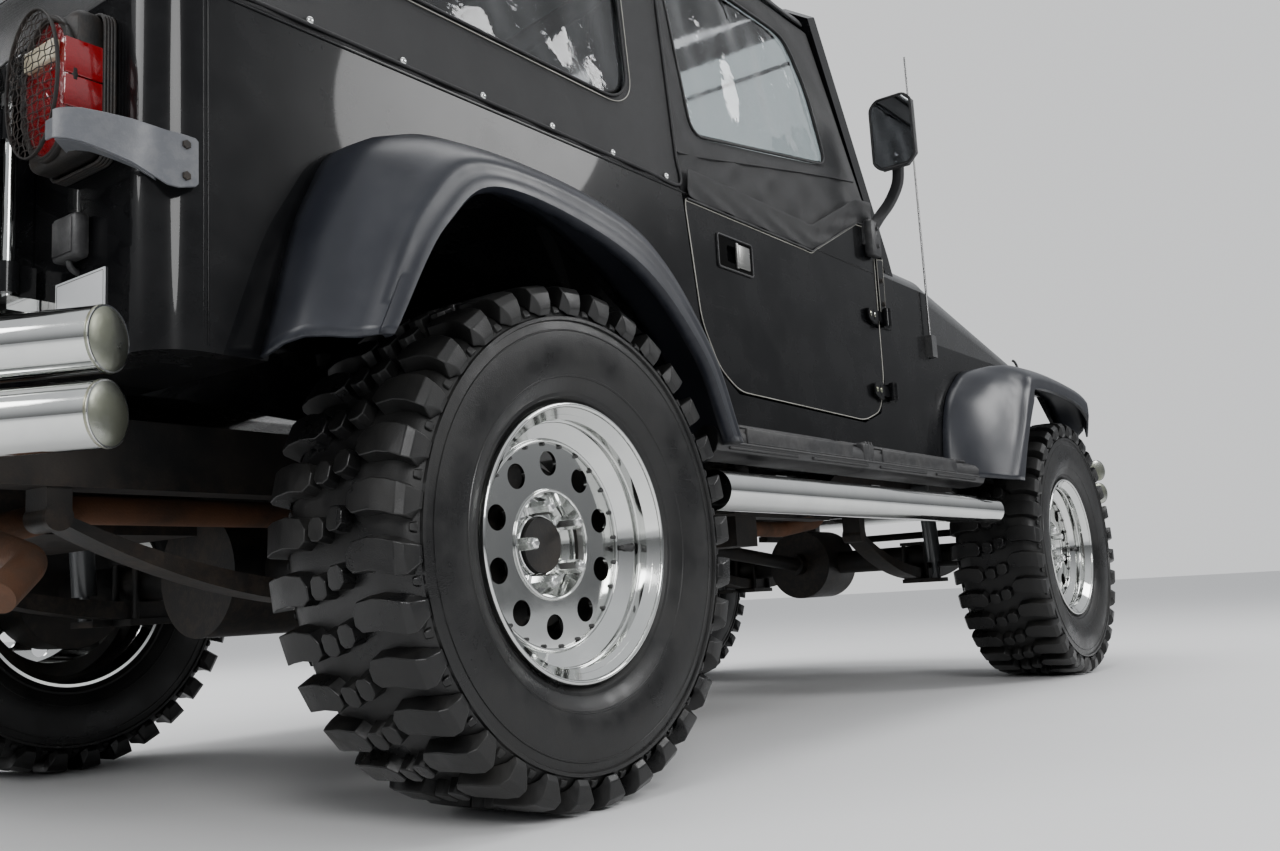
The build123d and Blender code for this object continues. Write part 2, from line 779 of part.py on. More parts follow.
# Mirror: columns are x ahead of the rear axle, y and z of its cranked arm
mirror_arm = [(1318, 728, 1180), (1340, 752, 1222), (1333, 800, 1268), (1303, 822, 1330)]
mirror_x = 1303
mirror_y = 822
mirror_z = 1402
mirror_wide = 115
mirror_tall = 185
mirror_deep = 42
mirror_rim = 12
mirror_taper = 52  # by which the back is narrower and lower than the face
mirror_cut = 24


def cut_rectangle(middle_x, middle_y, width, height, cut):
    """The eight corners of a rectangle whose corners are cut off."""
    half_width, half_height = width / 2, height / 2
    quarter = [(half_width, half_height - cut), (half_width - cut, half_height)]
    corners = quarter + [(-x, y) for x, y in reversed(quarter)]
    corners += [(-x, -y) for x, y in quarter] + [(x, -y) for x, y in reversed(quarter)]
    return [(middle_x + x, middle_y + y) for x, y in corners]


def slope_plane(side, depth=0):
    """Plane of the sloping side; like side_plane it faces right, and depth moves it inboard."""
    across = Vector(0, -1, -side * side_lean).normalized()
    return Plane(origin=Vector(0, side * (body_half_width - 1), top_low) + across * (side * depth), x_dir=(1, 0, 0), z_dir=across)


def up_slope(points):
    return [(rear_axle_x + x, (z - top_low) * slope) for x, z in points]


for name, side in sides:
    with BuildPart() as door:
        outline_prism(side_plane(side * body_half_width), door_points, side * door_thick)
        with BuildSketch(side_plane(side * body_half_width)):
            with Locations((rear_axle_x + handle_x, handle_z)):
                RectangleRounded(handle_wide, handle_tall, 8)
        extrude(amount=side * handle_deep, mode=Mode.SUBTRACT)
        for z in hinge_heights:
            low, high = z - hinge_tall / 2 + ear + 1, z + hinge_tall / 2 - ear - 1
            rod((hinge_x, side * hinge_y, low), (hinge_x, side * hinge_y, high), hinge_barrel)
            block((hinge_x - leaf_long, hinge_x - 34), pair(side, body_half_width - 1, body_half_width + 6), (low, high))
            block((hinge_x - leaf_long, hinge_x - 4), pair(side, body_half_width + 2, body_half_width + 12), (low, high))
            rod((hinge_x, side * hinge_y, low), (hinge_x, side * hinge_y, high), hinge_pin + hinge_play, Mode.SUBTRACT)
    write(f"{name}_door", door.part)
    with BuildPart() as door_upper:
        outline_prism(slope_plane(side), up_slope(upper_outline), side * upper_thick)
        outline_prism(slope_plane(side), up_slope(upper_window), side * upper_thick, Mode.SUBTRACT)
    write(f"{name}_door_upper", door_upper.part)
    with BuildPart() as door_window:
        outline_prism(
            slope_plane(side, (upper_thick - film) / 2), up_slope(upper_window), side * film, Mode.ADD, -clearance
        )
    write(f"{name}_door_window", door_window.part)
    with BuildPart() as mirror:
        block(
            (rear_axle_x + 1290, rear_axle_x + 1344),
            pair(side, body_half_width + clearance, body_half_width + 7),
            (1140, 1200),
        )
        bent_tube([(rear_axle_x + x, side * y, z) for x, y, z in mirror_arm], 18, 7)
        rod((rear_axle_x + mirror_arm[0][0], side * (body_half_width + 4), 1180), (rear_axle_x + mirror_arm[0][0], side * 735, 1180), 9)
        rod(
            (rear_axle_x + mirror_arm[0][0], side * 731, 1162),
            (rear_axle_x + mirror_arm[0][0], side * 731, 1198),
            13,
        )
        face_x = rear_axle_x + mirror_x - mirror_deep / 2
        with BuildSketch(Plane.YZ.offset(face_x)):
            with BuildLine():
                Polyline(*cut_rectangle(side * mirror_y, mirror_z, mirror_wide, mirror_tall, mirror_cut), close=True)
            make_face()
        extrude(amount=mirror_rim)
        with BuildPart(mode=Mode.PRIVATE) as back:
            for x, shrink in ((face_x + mirror_rim, 0), (face_x + mirror_deep, mirror_taper)):
                with BuildSketch(Plane.YZ.offset(x)):
                    with BuildLine():
                        Polyline(
                            *cut_rectangle(
                                side * mirror_y, mirror_z, mirror_wide - shrink, mirror_tall - shrink, mirror_cut
                            ),
                            close=True,
                        )
                    make_face()
            loft(ruled=True)
        add(back.part)
    write(f"{name}_mirror", mirror.part)

# Tailgate with its hinge rod, and the carrier of the spare wheel
tailgate_thick = 40
tailgate_top = belt - 2
rod_x = tub_rear_x - 42
rod_y = -447
rod_radius = 8
rod_low = 695
rod_high = 985
barrel_heights = (740, 940)
carrier_radius = 56
spare_seat_x = spare_x - (flange - hub_depth - 5)
with BuildPart() as tailgate:
    block(
        (tub_rear_x, tub_rear_x + tailgate_thick),
        (-tailgate_half + gap, tailgate_half - gap),
        (tailgate_bottom + gap, tailgate_top),
    )
    for z in barrel_heights:
        rod((rod_x, rod_y, z - 20), (rod_x, rod_y, z + 20), 14)
        block((rod_x - 6, tub_rear_x - gap), (rod_y, rod_y + 52), (z - 20, z + 20))
        block((tub_rear_x - gap - 1, tub_rear_x + 1), (-tailgate_half + gap, rod_y + 52), (z - 20, z + 20))
        rod((rod_x, rod_y, z - 21), (rod_x, rod_y, z + 21), rod_radius + hinge_play, Mode.SUBTRACT)
    block((tub_rear_x - 12, tub_rear_x + 1), (-150, 150), (spare_z - 120, spare_z + 35))
    rod((tub_rear_x, 0, spare_z), (spare_seat_x + clearance, 0, spare_z), carrier_radius)
write("tailgate", tailgate.part)
with BuildPart() as hinge_rod:
    rod((rod_x, rod_y, rod_low), (rod_x, rod_y, rod_high), rod_radius)
    for z in (rod_low, rod_high - 18):
        block((rod_x - 10, tub_rear_x - clearance), (rod_y - 20, rod_y + 6), (z, z + 18))
write("tailgate_hinge", hinge_rod.part)

# Dash with the steering column, and the steering wheel
dash_rear_x = door_front_x - 60
dash_front_x = dash_rear_x + 170
dash_section = [(-652, 950), (652, 950), (652, 1035), (580, 1090), (-580, 1090), (-652, 1035)]
column_angle = 28
column_radius = 25
wheel_centre = Vector(rear_axle_x + 1140, 360, 1115)
column_way = Vector(cos(radians(column_angle)), 0, -sin(radians(column_angle)))
wheel_radius = 178
shaft_radius = 11
with BuildPart() as dash:
    outline_prism(Plane.YZ.offset(dash_rear_x), dash_section, dash_front_x - dash_rear_x)
    block(
        (cowl_rear_x + 10, dash_front_x),
        (-body_half_width + wall + clearance, body_half_width - wall - clearance),
        (955, belt - 62),
    )
    rod(wheel_centre + column_way * 32, wheel_centre + column_way * 540, column_radius)
    rod(wheel_centre + column_way * 30, wheel_centre + column_way * 90, shaft_radius + hinge_play, Mode.SUBTRACT)
write("dash", dash.part)
with BuildPart() as steering_wheel:
    with Locations(Plane(origin=wheel_centre, x_dir=(0, 1, 0), z_dir=-column_way)):
        Torus(wheel_radius, 13)
        Cylinder(38, 30)
        with PolarLocations(wheel_radius / 2, 3, start_angle=90):
            Box(wheel_radius, 34, 8)
    rod(wheel_centre, wheel_centre + column_way * 80, shaft_radius)
write("steering_wheel", steering_wheel.part)

# Seats, roll bar
seat_inner = 145
seat_outer = 610
seat_rear_x = rear_axle_x + 620
seat_front_x = rear_axle_x + 1050
seat_top = 915
bench_half = house_y - 20
with BuildPart() as seats:
    for _, side in sides:
        outline_prism(
            side_plane(side * seat_outer),
            [
                (seat_rear_x, floor_top + clearance),
                (seat_front_x - 60, floor_top + clearance),
                (seat_front_x, 780),
                (seat_front_x, seat_top),
                (seat_rear_x + 130, seat_top - 25),
                (seat_rear_x + 30, 1430),
                (seat_rear_x - 70, 1430),
            ],
            side * (seat_outer - seat_inner),
        )
    outline_prism(
        side_plane(bench_half),
        [
            (rear_axle_x - 360, floor_top + clearance),
            (rear_axle_x + 60, floor_top + clearance),
            (rear_axle_x + 90, 900),
            (rear_axle_x - 240, 885),
            (rear_axle_x - 300, 1230),
            (rear_axle_x - 390, 1230),
        ],
        2 * bench_half,
    )
write("seats", seats.part)

bar_x = rear_axle_x + 472
bar_y = 560
bar_radius = 25
bar_top = 1690
house_top = 937
brace_foot_x = rear_axle_x - 250
with BuildPart() as roll_bar:
    bent_tube(
        [
            (bar_x, -bar_y, floor_top + clearance),
            (bar_x, -bar_y, bar_top),
            (bar_x, bar_y, bar_top),
            (bar_x, bar_y, floor_top + clearance),
        ],
        110,
        bar_radius,
    )
    for _, side in sides:
        rod((bar_x, side * bar_y, bar_top - 150), (brace_foot_x, side * bar_y, house_top + 24), 20)
        rod((brace_foot_x, side * bar_y, house_top), (brace_foot_x, side * bar_y, house_top + 30), 42)
write("roll_bar", roll_bar.part)

# Bumpers: two chromed tubes each, their ends swept back, on brackets from the rails
end_x = bumper_end_length * sin(radians(bumper_sweep))
end_y = bumper_end_length * cos(radians(bumper_sweep))
tube_radius = tube / 2
# Columns: name, x of the main run, way in which the ends sweep, z of the top tube, rail's end, rail's middle
bumper_table = [
    ("front", front_axle_x + front_overhang - tube_radius, -1, front_bumper_top_tube, rail_front_x, rail_z + rail_raise),
    ("rear", rear_axle_x - 789, 1, rear_bumper_top_tube, rail_rear_x, rail_z),
]
for name, x, back, top_z, rail_end, rail_mid in bumper_table:
    with BuildPart() as bumper:
        for z in (top_z, top_z - bumper_spacing):
            bent_tube(
                [
                    (x + back * end_x, -bumper_half_width, z),
                    (x, -bumper_half_width + end_y, z),
                    (x, bumper_half_width - end_y, z),
                    (x + back * end_x, bumper_half_width, z),
                ],
                110,
                tube_radius,
            )
        near = rail_end - back * clearance
        for _, side in sides:
            block(
                tuple(sorted((near, x))),
                pair(side, rail_inner + 6, rail_outer - 6),
                (rail_mid - rail_height / 2 + 8, rail_mid + rail_height / 2 - 2),
            )
            block(
                (x - 8, x + 8),
                pair(side, rail_inner + 6, rail_outer - 6),
                (top_z - bumper_spacing, top_z),
            )
    write(f"{name}_bumper", bumper.part)

side_tube_rear_x = rear_axle_x + 405
side_tube_front_x = rear_axle_x + 1770
with BuildPart() as side_tubes:
    for _, side in sides:
        rod((side_tube_rear_x, side * side_tube_y, side_tube_z), (side_tube_front_x, side * side_tube_y, side_tube_z), tube_radius)
        for x in (side_tube_rear_x + 260, (side_tube_rear_x + side_tube_front_x) / 2, side_tube_front_x - 260):
            block((x - 22, x + 22), pair(side, rail_outer + clearance, side_tube_y - 20), (rail_low + 2, rail_low + 30))
            block((x - 22, x + 22), pair(side, side_tube_y - 60, side_tube_y - 10), (side_tube_z - 10, rail_low + 30))
write("side_tubes", side_tubes.part)

# Fuel tank under the floor and the exhaust beside it
with BuildPart() as fuel_tank:
    block((rear_axle_x - 600, rear_axle_x - 220), (-185, 288), (440, tub_bottom - clearance))
write("fuel_tank", fuel_tank.part)

pipe_y = -218
pipe_z = 474
pipe_radius = 22
muffler_x = (rear_axle_x + 750, rear_axle_x + 1140)
tail_x = rear_axle_x - 625
with BuildPart() as exhaust:
    bent_tube(
        [
            (engine_rear_x + 110, -264, 660),
            (engine_rear_x + 110, -264, 500),
            (engine_rear_x - 40, pipe_y, pipe_z),
            (rear_axle_x - 440, pipe_y, pipe_z),
            (tail_x + 20, pipe_y - 30, 430),
            (tail_x + 20, pipe_y - 200, 385),
            (tail_x - 40, pipe_y - 240, 340),
        ],
        38,
        pipe_radius,
    )
    rod((muffler_x[0], pipe_y, pipe_z), (muffler_x[1], pipe_y, pipe_z), 70)
    block((engine_rear_x + 80, engine_rear_x + 140), (-262, -230 - clearance), (635, 680))
write("exhaust", exhaust.part)

# Axles, with the hubs that carry the rear wheels
diff_radius = 115
diff_half = 100
drum_radius = 126
hub_radius = hub_bore / 2 - hinge_play
hub_end_y = track / 2 + flange - hub_depth + 10
drum_y = track / 2 + flange - hub_depth - 5 - 8
upright_radius = 40
upright_half = 74
king_radius = 12
ear_inner = 76
ear_outer = 96
front_diff_y = 75
with BuildPart() as rear_axle:
    rod((rear_axle_x, -drum_y, axle_z), (rear_axle_x, drum_y, axle_z), axle_tube / 2)
    rod((rear_axle_x - diff_half, 0, axle_z), (rear_axle_x + diff_half, 0, axle_z), diff_radius)
    for _, side in sides:
        rod((rear_axle_x, side * 610, axle_z), (rear_axle_x, side * drum_y, axle_z), drum_radius)
        rod((rear_axle_x, side * drum_y, axle_z), (rear_axle_x, side * hub_end_y, axle_z), hub_radius)
write("rear_axle", rear_axle.part)
with BuildPart() as front_axle:
    rod((front_axle_x, -515, axle_z), (front_axle_x, 515, axle_z), axle_tube / 2)
    rod((front_axle_x - diff_half, front_diff_y, axle_z), (front_axle_x + diff_half, front_diff_y, axle_z), diff_radius)
    for _, side in sides:
        block((front_axle_x - 35, front_axle_x + 35), pair(side, 505, 535), (axle_z - ear_outer, axle_z + ear_outer))
        for low in (axle_z - ear_outer, axle_z + ear_inner):
            block(
                (front_axle_x - 35, front_axle_x + 35),
                pair(side, 505, kingpin_y + 28),
                (low, low + ear_outer - ear_inner),
            )
        rod(
            (front_axle_x, side * kingpin_y, axle_z - ear_outer - 1),
            (front_axle_x, side * kingpin_y, axle_z + ear_outer + 1),
            king_radius + hinge_play,
            Mode.SUBTRACT,
        )
write("front_axle", front_axle.part)

# Steering: knuckles, tie rod, pitman arm and drag link make two parallelograms
arm_low = axle_z + 41.5
arm_high = axle_z + 65
arm_half = 17
pin_radius = 8
tie_z = arm_low - 14
drag_z = arm_high + 14
link_radius = 12
pitman_y = 270
pitman_low = drag_z + link_radius + 1
pitman_high = pitman_low + 19
sector_radius = 14
pin_x = front_axle_x + steering_arm


def arm(x, y, low, high, end_x):
    """A flat arm with rounded ends from one pivot forward to the next."""
    block((x, end_x), (y - arm_half, y + arm_half), (low, high))
    for eye in (x, end_x):
        rod((eye, y, low), (eye, y, high), arm_half)


for name, side in sides:
    kingpin = side * kingpin_y
    with BuildPart() as knuckle:
        rod((front_axle_x, kingpin, axle_z - upright_half), (front_axle_x, kingpin, axle_z + upright_half), upright_radius)
        rod((front_axle_x, kingpin, axle_z - ear_outer), (front_axle_x, kingpin, axle_z + ear_outer), king_radius)
        arm(front_axle_x, kingpin, arm_low, arm_high, pin_x)
        rod((pin_x, kingpin, arm_low - 1), (pin_x, kingpin, arm_high + 1), pin_radius + hinge_play, Mode.SUBTRACT)
        rod((front_axle_x, kingpin, axle_z), (front_axle_x, side * hub_end_y, axle_z), hub_radius)
        rod((front_axle_x, side * 636, axle_z), (front_axle_x, side * drum_y, axle_z), drum_radius)
    write(f"{name}_knuckle", knuckle.part)
with BuildPart() as tie_rod:
    rod((pin_x, -kingpin_y, tie_z), (pin_x, kingpin_y, tie_z), link_radius)
    rod((pin_x, kingpin_y, tie_z - link_radius), (pin_x, kingpin_y, arm_high), pin_radius)
    rod((pin_x, -kingpin_y, tie_z - link_radius), (pin_x, -kingpin_y, (arm_low + arm_high) / 2 - 1), pin_radius - 1)
write("tie_rod", tie_rod.part)
with BuildPart() as pitman_arm:
    arm(front_axle_x, pitman_y, pitman_low, pitman_high, pin_x)
    rod((pin_x, pitman_y, pitman_low - 1), (pin_x, pitman_y, pitman_high + 1), pin_radius + hinge_play, Mode.SUBTRACT)
    rod(
        (front_axle_x, pitman_y, pitman_low - 1),
        (front_axle_x, pitman_y, pitman_high + 1),
        sector_radius + hinge_play - 4,
        Mode.SUBTRACT,
    )
write("pitman_arm", pitman_arm.part)
with BuildPart() as drag_link:
    rod((pin_x, -kingpin_y, drag_z), (pin_x, pitman_y, drag_z), link_radius)
    rod((pin_x, pitman_y, drag_z - link_radius), (pin_x, pitman_y, pitman_high), pin_radius)
    rod((pin_x, -kingpin_y, drag_z + link_radius), (pin_x, -kingpin_y, (arm_low + arm_high) / 2 + 1), pin_radius - 1)
write("drag_link", drag_link.part)
with BuildPart() as steering_box:
    block(
        (front_axle_x - 60, front_axle_x + 60),
        (238, rail_inner - clearance),
        (pitman_high + 8, rail_z + rail_raise + 30),
    )
    rod(
        (front_axle_x, pitman_y, pitman_low),
        (front_axle_x, pitman_y, pitman_high + 10),
        sector_radius - 4,
    )
write("steering_box", steering_box.part)

# Leaf springs, shock absorbers and prop shafts
pack = 34
leaf_top = axle_z - axle_tube / 2 - clearance
eye_z = 450
eye_radius = 20
bolt_radius = 7
# Columns: axle x, half the spring's length, underside of the rail
spring_table = [(rear_axle_x, 540, rail_low), (front_axle_x, 480, rail_low + rail_raise)]
with BuildPart() as leaf_springs:
    for x, half, rail_under in spring_table:
        for _, side in sides:
            with BuildSketch(side_plane(side * (spring_y + spring_width / 2))):
                with BuildLine():
                    ThreePointArc((x - half, eye_z + 7), (x, leaf_top), (x + half, eye_z + 7))
                    Line((x + half, eye_z + 7), (x + half, eye_z - 7))
                    ThreePointArc((x + half, eye_z - 7), (x, leaf_top - pack), (x - half, eye_z - 7))
                    Line((x - half, eye_z - 7), (x - half, eye_z + 7))
                make_face()
            extrude(amount=side * spring_width)
            for end in (x - half, x + half):
                rod(
                    (end, side * (spring_y - spring_width / 2 + 1), eye_z),
                    (end, side * (spring_y + spring_width / 2 + 1), eye_z),
                    eye_radius,
                )
                block(
                    (end - 18, end + 18),
                    pair(side, spring_y - spring_width / 2 + 4, spring_y + spring_width / 2),
                    (eye_z, rail_under - clearance),
                )
            low_plate = leaf_top - pack
            high_plate = axle_z + axle_tube / 2 + clearance
            block((x - 62, x + 62), pair(side, spring_y - 44, spring_y + 44), (low_plate - 12, low_plate + 1))
            block((x - 104, x - 40), pair(side, spring_y + 20, spring_y + 104), (low_plate - 12, low_plate + 1))
            block((x - 60, x + 60), pair(side, spring_y - 44, spring_y + 44), (high_plate, high_plate + 10))
            for across in (-37, 37):
                for along in (-47, 47):
                    rod(
                        (x + along, side * (spring_y + across), low_plate - 6),
                        (x + along, side * (spring_y + across), high_plate + 6),
                        bolt_radius,
                    )
write("leaf_springs", leaf_springs.part)

shock_radius = 24
# Columns: axle x, height of the rail's middle
shock_table = [(rear_axle_x, rail_z), (front_axle_x, rail_z + rail_raise)]
with BuildPart() as shocks:
    for x, mid in shock_table:
        for _, side in sides:
            foot = (x - 84, side * 412, leaf_top - pack + 12)
            head = (x - 104, side * 402, mid)
            rod(foot, head, 10)
            way = (Vector(*head) - Vector(*foot)).normalized()
            rod(Vector(*foot) + way * 40, Vector(*foot) + way * 175, shock_radius)
            rod((x - 104, side * (rail_outer + clearance), mid), (x - 104, side * 416, mid), 13)
            rod(foot, (foot[0], foot[1], leaf_top - pack + 1 + clearance), 14)
write("shock_absorbers", shocks.part)

transfer_x = engine_rear_x - 560
yoke_long = 36
yoke_radius = 34
# Columns: where the shaft leaves the transfer case, where it meets the differential, radius
shaft_table = [
    ((transfer_x - clearance, 0, 500), (rear_axle_x + diff_half + clearance, 0, axle_z), 28),
    ((transfer_x + 230 + clearance, 166, 492), (front_axle_x - diff_half - clearance, front_diff_y, axle_z), 22),
]
with BuildPart() as prop_shafts:
    for start, end, radius in shaft_table:
        way = yoke_long if end[0] > start[0] else -yoke_long
        near = (start[0] + way, start[1], start[2])
        far = (end[0] - way, end[1], end[2])
        rod(start, near, yoke_radius)
        rod(far, end, yoke_radius)
        rod((near[0] - way / 4, near[1], near[2]), (far[0] + way / 4, far[1], far[2]), radius)
write("prop_shafts", prop_shafts.part)

# Tail lamps, their straps, and the antenna
tail_y = 560
tail_z = 940
tail_wide = 120
tail_tall = 160
tail_deep = 75
housing_deep = 48
lens_deep = 14
guard_wall = 3
guard_bar = 4
guard_rows = 5
with BuildPart() as tail_lamps:
    for _, side in sides:
        with BuildSketch(Plane.YZ.offset(tub_rear_x - housing_deep)):
            with Locations((side * tail_y, tail_z)):
                RectangleRounded(tail_wide, tail_tall, 18)
        extrude(amount=housing_deep - clearance)
        with BuildSketch(Plane.YZ.offset(tub_rear_x - housing_deep - lens_deep)):
            with Locations((side * tail_y, tail_z)):
                Ellipse(tail_wide / 2 - 8, tail_tall / 2 - 6)
        extrude(amount=lens_deep)
        with BuildSketch(Plane.YZ.offset(tub_rear_x - tail_deep)):
            with Locations((side * tail_y, tail_z)):
                Ellipse(tail_wide / 2, tail_tall / 2)
                Ellipse(tail_wide / 2 - guard_wall, tail_tall / 2 - guard_wall, mode=Mode.SUBTRACT)
        extrude(amount=tail_deep - housing_deep + 1)
        with BuildSketch(Plane.YZ.offset(tub_rear_x - tail_deep)):
            with Locations((side * tail_y, tail_z)):
                with GridLocations(tail_wide, tail_tall / (guard_rows + 1), 1, guard_rows):
                    Rectangle(tail_wide, guard_bar)
                Ellipse(tail_wide / 2 - 1, tail_tall / 2 - 1, mode=Mode.INTERSECT)
        extrude(amount=guard_bar)
write("tail_lamps", tail_lamps.part)

strap = 5
strap_y = body_half_width + clearance + strap / 2
# Columns: x ahead of the rear axle and y of the strap's middle line
strap_path = [(-535, strap_y), (-625, strap_y), (-698, 640)]
strap_low, strap_high = 800, 850
strap_end_x = rear_axle_x + strap_path[-1][0] - strap / 2
# Columns: y and z of the end below the lamp, which rises inwards
strap_end = [(642, strap_low), (642, strap_high), (556, strap_high + 30), (556, strap_low + 30)]
with BuildPart() as lamp_brackets:
    for _, side in sides:
        with BuildSketch(Plane.XY.offset(strap_low)):
            with BuildLine():
                Polyline(*[(rear_axle_x + x, side * y) for x, y in strap_path])
            trace(line_width=strap)
        extrude(amount=strap_high - strap_low)
        outline_prism(Plane.YZ.offset(strap_end_x), [(side * y, z) for y, z in strap_end], strap)
write("lamp_brackets", lamp_brackets.part)

antenna_x = rear_axle_x + 1645
with BuildPart() as antenna:
    block((antenna_x - 16, antenna_x + 16), (-body_half_width - 20, -body_half_width - clearance), (897, 957))
    rod((antenna_x, -body_half_width - 10, 950), (antenna_x, -body_half_width - 10, 1757), 3)
write("antenna", antenna.part)
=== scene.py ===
"""Looks of the lifted off-road 4x4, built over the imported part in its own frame, in metres.

X is forward, Y to the left and Z up. Every new piece is worked out with numpy as a grid of two
parameters or as a profile carried along a path, and rides on the body that its maker would bolt
it to.
"""

import json
import math

import bmesh
import bpy
import numpy as np
from mathutils import Matrix


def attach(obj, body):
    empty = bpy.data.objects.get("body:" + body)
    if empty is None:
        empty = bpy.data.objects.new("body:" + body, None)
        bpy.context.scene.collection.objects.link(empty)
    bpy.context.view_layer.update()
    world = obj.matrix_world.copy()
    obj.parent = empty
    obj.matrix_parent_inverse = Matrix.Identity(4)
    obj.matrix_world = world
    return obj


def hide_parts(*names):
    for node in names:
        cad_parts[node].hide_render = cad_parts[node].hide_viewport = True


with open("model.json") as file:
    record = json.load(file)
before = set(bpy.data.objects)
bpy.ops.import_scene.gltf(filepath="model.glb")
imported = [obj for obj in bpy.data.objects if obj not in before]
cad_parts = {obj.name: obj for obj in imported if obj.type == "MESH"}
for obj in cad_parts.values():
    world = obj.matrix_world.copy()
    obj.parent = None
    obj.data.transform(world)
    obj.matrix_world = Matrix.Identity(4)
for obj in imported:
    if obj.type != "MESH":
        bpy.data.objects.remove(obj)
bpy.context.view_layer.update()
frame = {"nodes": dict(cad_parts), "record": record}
nodes = frame["nodes"]

# Places that the part's source gives, in metres
REAR_AXLE_X = -1.041
FRONT_AXLE_X = 1.332
AXLE_Z = 0.385
HALF_TRACK = 0.714
TUB_REAR_X = -1.656
BODY_HALF = 0.715
FLOOR_Z = 0.641
ROLL_BAR_X = -0.569
UP = np.array([0.0, 0.0, 1.0])
WHEELS = {
    "rear_left": ((REAR_AXLE_X, HALF_TRACK, AXLE_Z), (0, 1, 0), "rear_left_wheel", 0.4),
    "rear_right": ((REAR_AXLE_X, -HALF_TRACK, AXLE_Z), (0, -1, 0), "rear_right_wheel", 0.05),
    "front_left": ((FRONT_AXLE_X, HALF_TRACK, AXLE_Z), (0, 1, 0), "front_left_wheel", 1.1),
    "front_right": ((FRONT_AXLE_X, -HALF_TRACK, AXLE_Z), (0, -1, 0), "front_right_wheel", 0.1),
    "spare": ((-1.826, 0.0, 1.035), (-1, 0, 0), "tailgate_body", 0.0),
}
SIDES = (("left", 1), ("right", -1))


# Shapes: a shape is a pair of arrays, points (n, 3) and four-sided faces (m, 4).


def grid(points, close_rows=False, close_columns=False):
    """The shape of a grid of points (rows, columns, 3): each cell is one face."""
    rows, columns = points.shape[:2]
    row = np.arange(rows if close_rows else rows - 1)
    column = np.arange(columns if close_columns else columns - 1)
    a, b = (axis.ravel() for axis in np.meshgrid(row, column, indexing="ij"))
    c, d = (a + 1) % rows, (b + 1) % columns
    faces = np.stack([a * columns + b, c * columns + b, c * columns + d, a * columns + d], 1)
    return points.reshape(-1, 3), faces


def joined(shapes):
    """Several shapes as one: the faces of each are counted on from the points before it."""
    shapes = list(shapes)
    starts = np.cumsum([0] + [len(points) for points, _ in shapes[:-1]])
    points = np.concatenate([points for points, _ in shapes])
    faces = np.concatenate([faces + start for (_, faces), start in zip(shapes, starts)])
    return points, faces


def repeated(shape, turns, shifts):
    """One shape at many places: each point is turned by a 3 x 3 array and then shifted."""
    points, faces = shape
    turns, shifts = np.asarray(turns, float), np.asarray(shifts, float)
    placed = np.einsum("kij,nj->kni", turns, points) + shifts[:, None, :]
    count = len(points)
    numbered = faces[None] + (np.arange(len(turns)) * count)[:, None, None]
    return placed.reshape(-1, 3), numbered.reshape(-1, faces.shape[1])


def unit(vectors):
    """The same directions with length 1."""
    vectors = np.asarray(vectors, float)
    return vectors / np.maximum(np.linalg.norm(vectors, axis=-1, keepdims=True), 1e-12)


def basis(out):
    """Columns x, y, z with z along out and x as near as it can be to up, or level where out is upright."""
    z = unit(out)
    hint = UP
    if abs(float(z @ hint)) > 0.95:
        hint = np.array([1.0, 0.0, 0.0]) if abs(z[0]) < 0.9 else np.array([0.0, 1.0, 0.0])
    x = unit(hint - z * (z @ hint))
    return np.stack([x, np.cross(z, x), z], 1)


def turned(profile, segments=64, close=False):
    """A profile of (radius, height) turned about Z: a point is (r cos t, r sin t, h)."""
    profile = np.asarray(profile, float)
    angle = np.linspace(0, 2 * np.pi, segments, endpoint=False)
    r, h = profile[:, None, 0], np.repeat(profile[:, 1:], segments, 1)
    points = np.stack([r * np.cos(angle), r * np.sin(angle), h], 2)
    return grid(points, close_rows=close, close_columns=True)


def smooth_path(points, steps=8, closed=False):
    """A path through the points, a cubic on each span.

    The slope at a point is half the step between its neighbours.
    """
    points = np.asarray(points, float)
    if closed:
        before, after = np.roll(points, 1, 0), np.roll(points, -1, 0)
        start, end, slope_start = points, after, (after - before) / 2
        slope_end = np.roll(slope_start, -1, 0)
    else:
        padded = np.concatenate([2 * points[:1] - points[1:2], points, 2 * points[-1:] - points[-2:-1]])
        slopes = (padded[2:] - padded[:-2]) / 2
        start, end, slope_start, slope_end = points[:-1], points[1:], slopes[:-1], slopes[1:]
    t = np.linspace(0, 1, steps, endpoint=False)[None, :, None]
    spans = (
        (2 * t**3 - 3 * t**2 + 1) * start[:, None]
        + (t**3 - 2 * t**2 + t) * slope_start[:, None]
        + (3 * t**2 - 2 * t**3) * end[:, None]
        + (t**3 - t**2) * slope_end[:, None]
    ).reshape(-1, points.shape[1])
    return spans if closed else np.concatenate([spans, points[-1:]])


def capped(points):
    """Rows of points with one more row at each end, drawn together in the end's middle."""
    first, last = (np.repeat(row.mean(1, keepdims=True), points.shape[1], 1)
                   for row in (points[:1], points[-1:]))
    return np.concatenate([first, points, last])


def carried(path, profile, hint=UP, closed=False, scale=None):
    """A closed profile (u, v) carried along a path: u to the path's side, v as near as it can be to hint.

    scale sizes the profile, one number for each path point.
    """
    path, profile = np.asarray(path, float), np.asarray(profile, float)
    step = np.roll(path, -1, 0) - np.roll(path, 1, 0) if closed else np.gradient(path, axis=0)
    along = unit(step)
    hints = np.broadcast_to(np.asarray(hint, float), along.shape)
    v = unit(hints - along * np.sum(hints * along, 1, keepdims=True))
    u = np.cross(v, along)
    size = np.ones(len(path)) if scale is None else np.asarray(scale, float)
    points = path[:, None] + size[:, None, None] * (
        profile[None, :, :1] * u[:, None] + profile[None, :, 1:] * v[:, None]
    )
    return grid(points if closed else capped(points), close_rows=closed, close_columns=True)


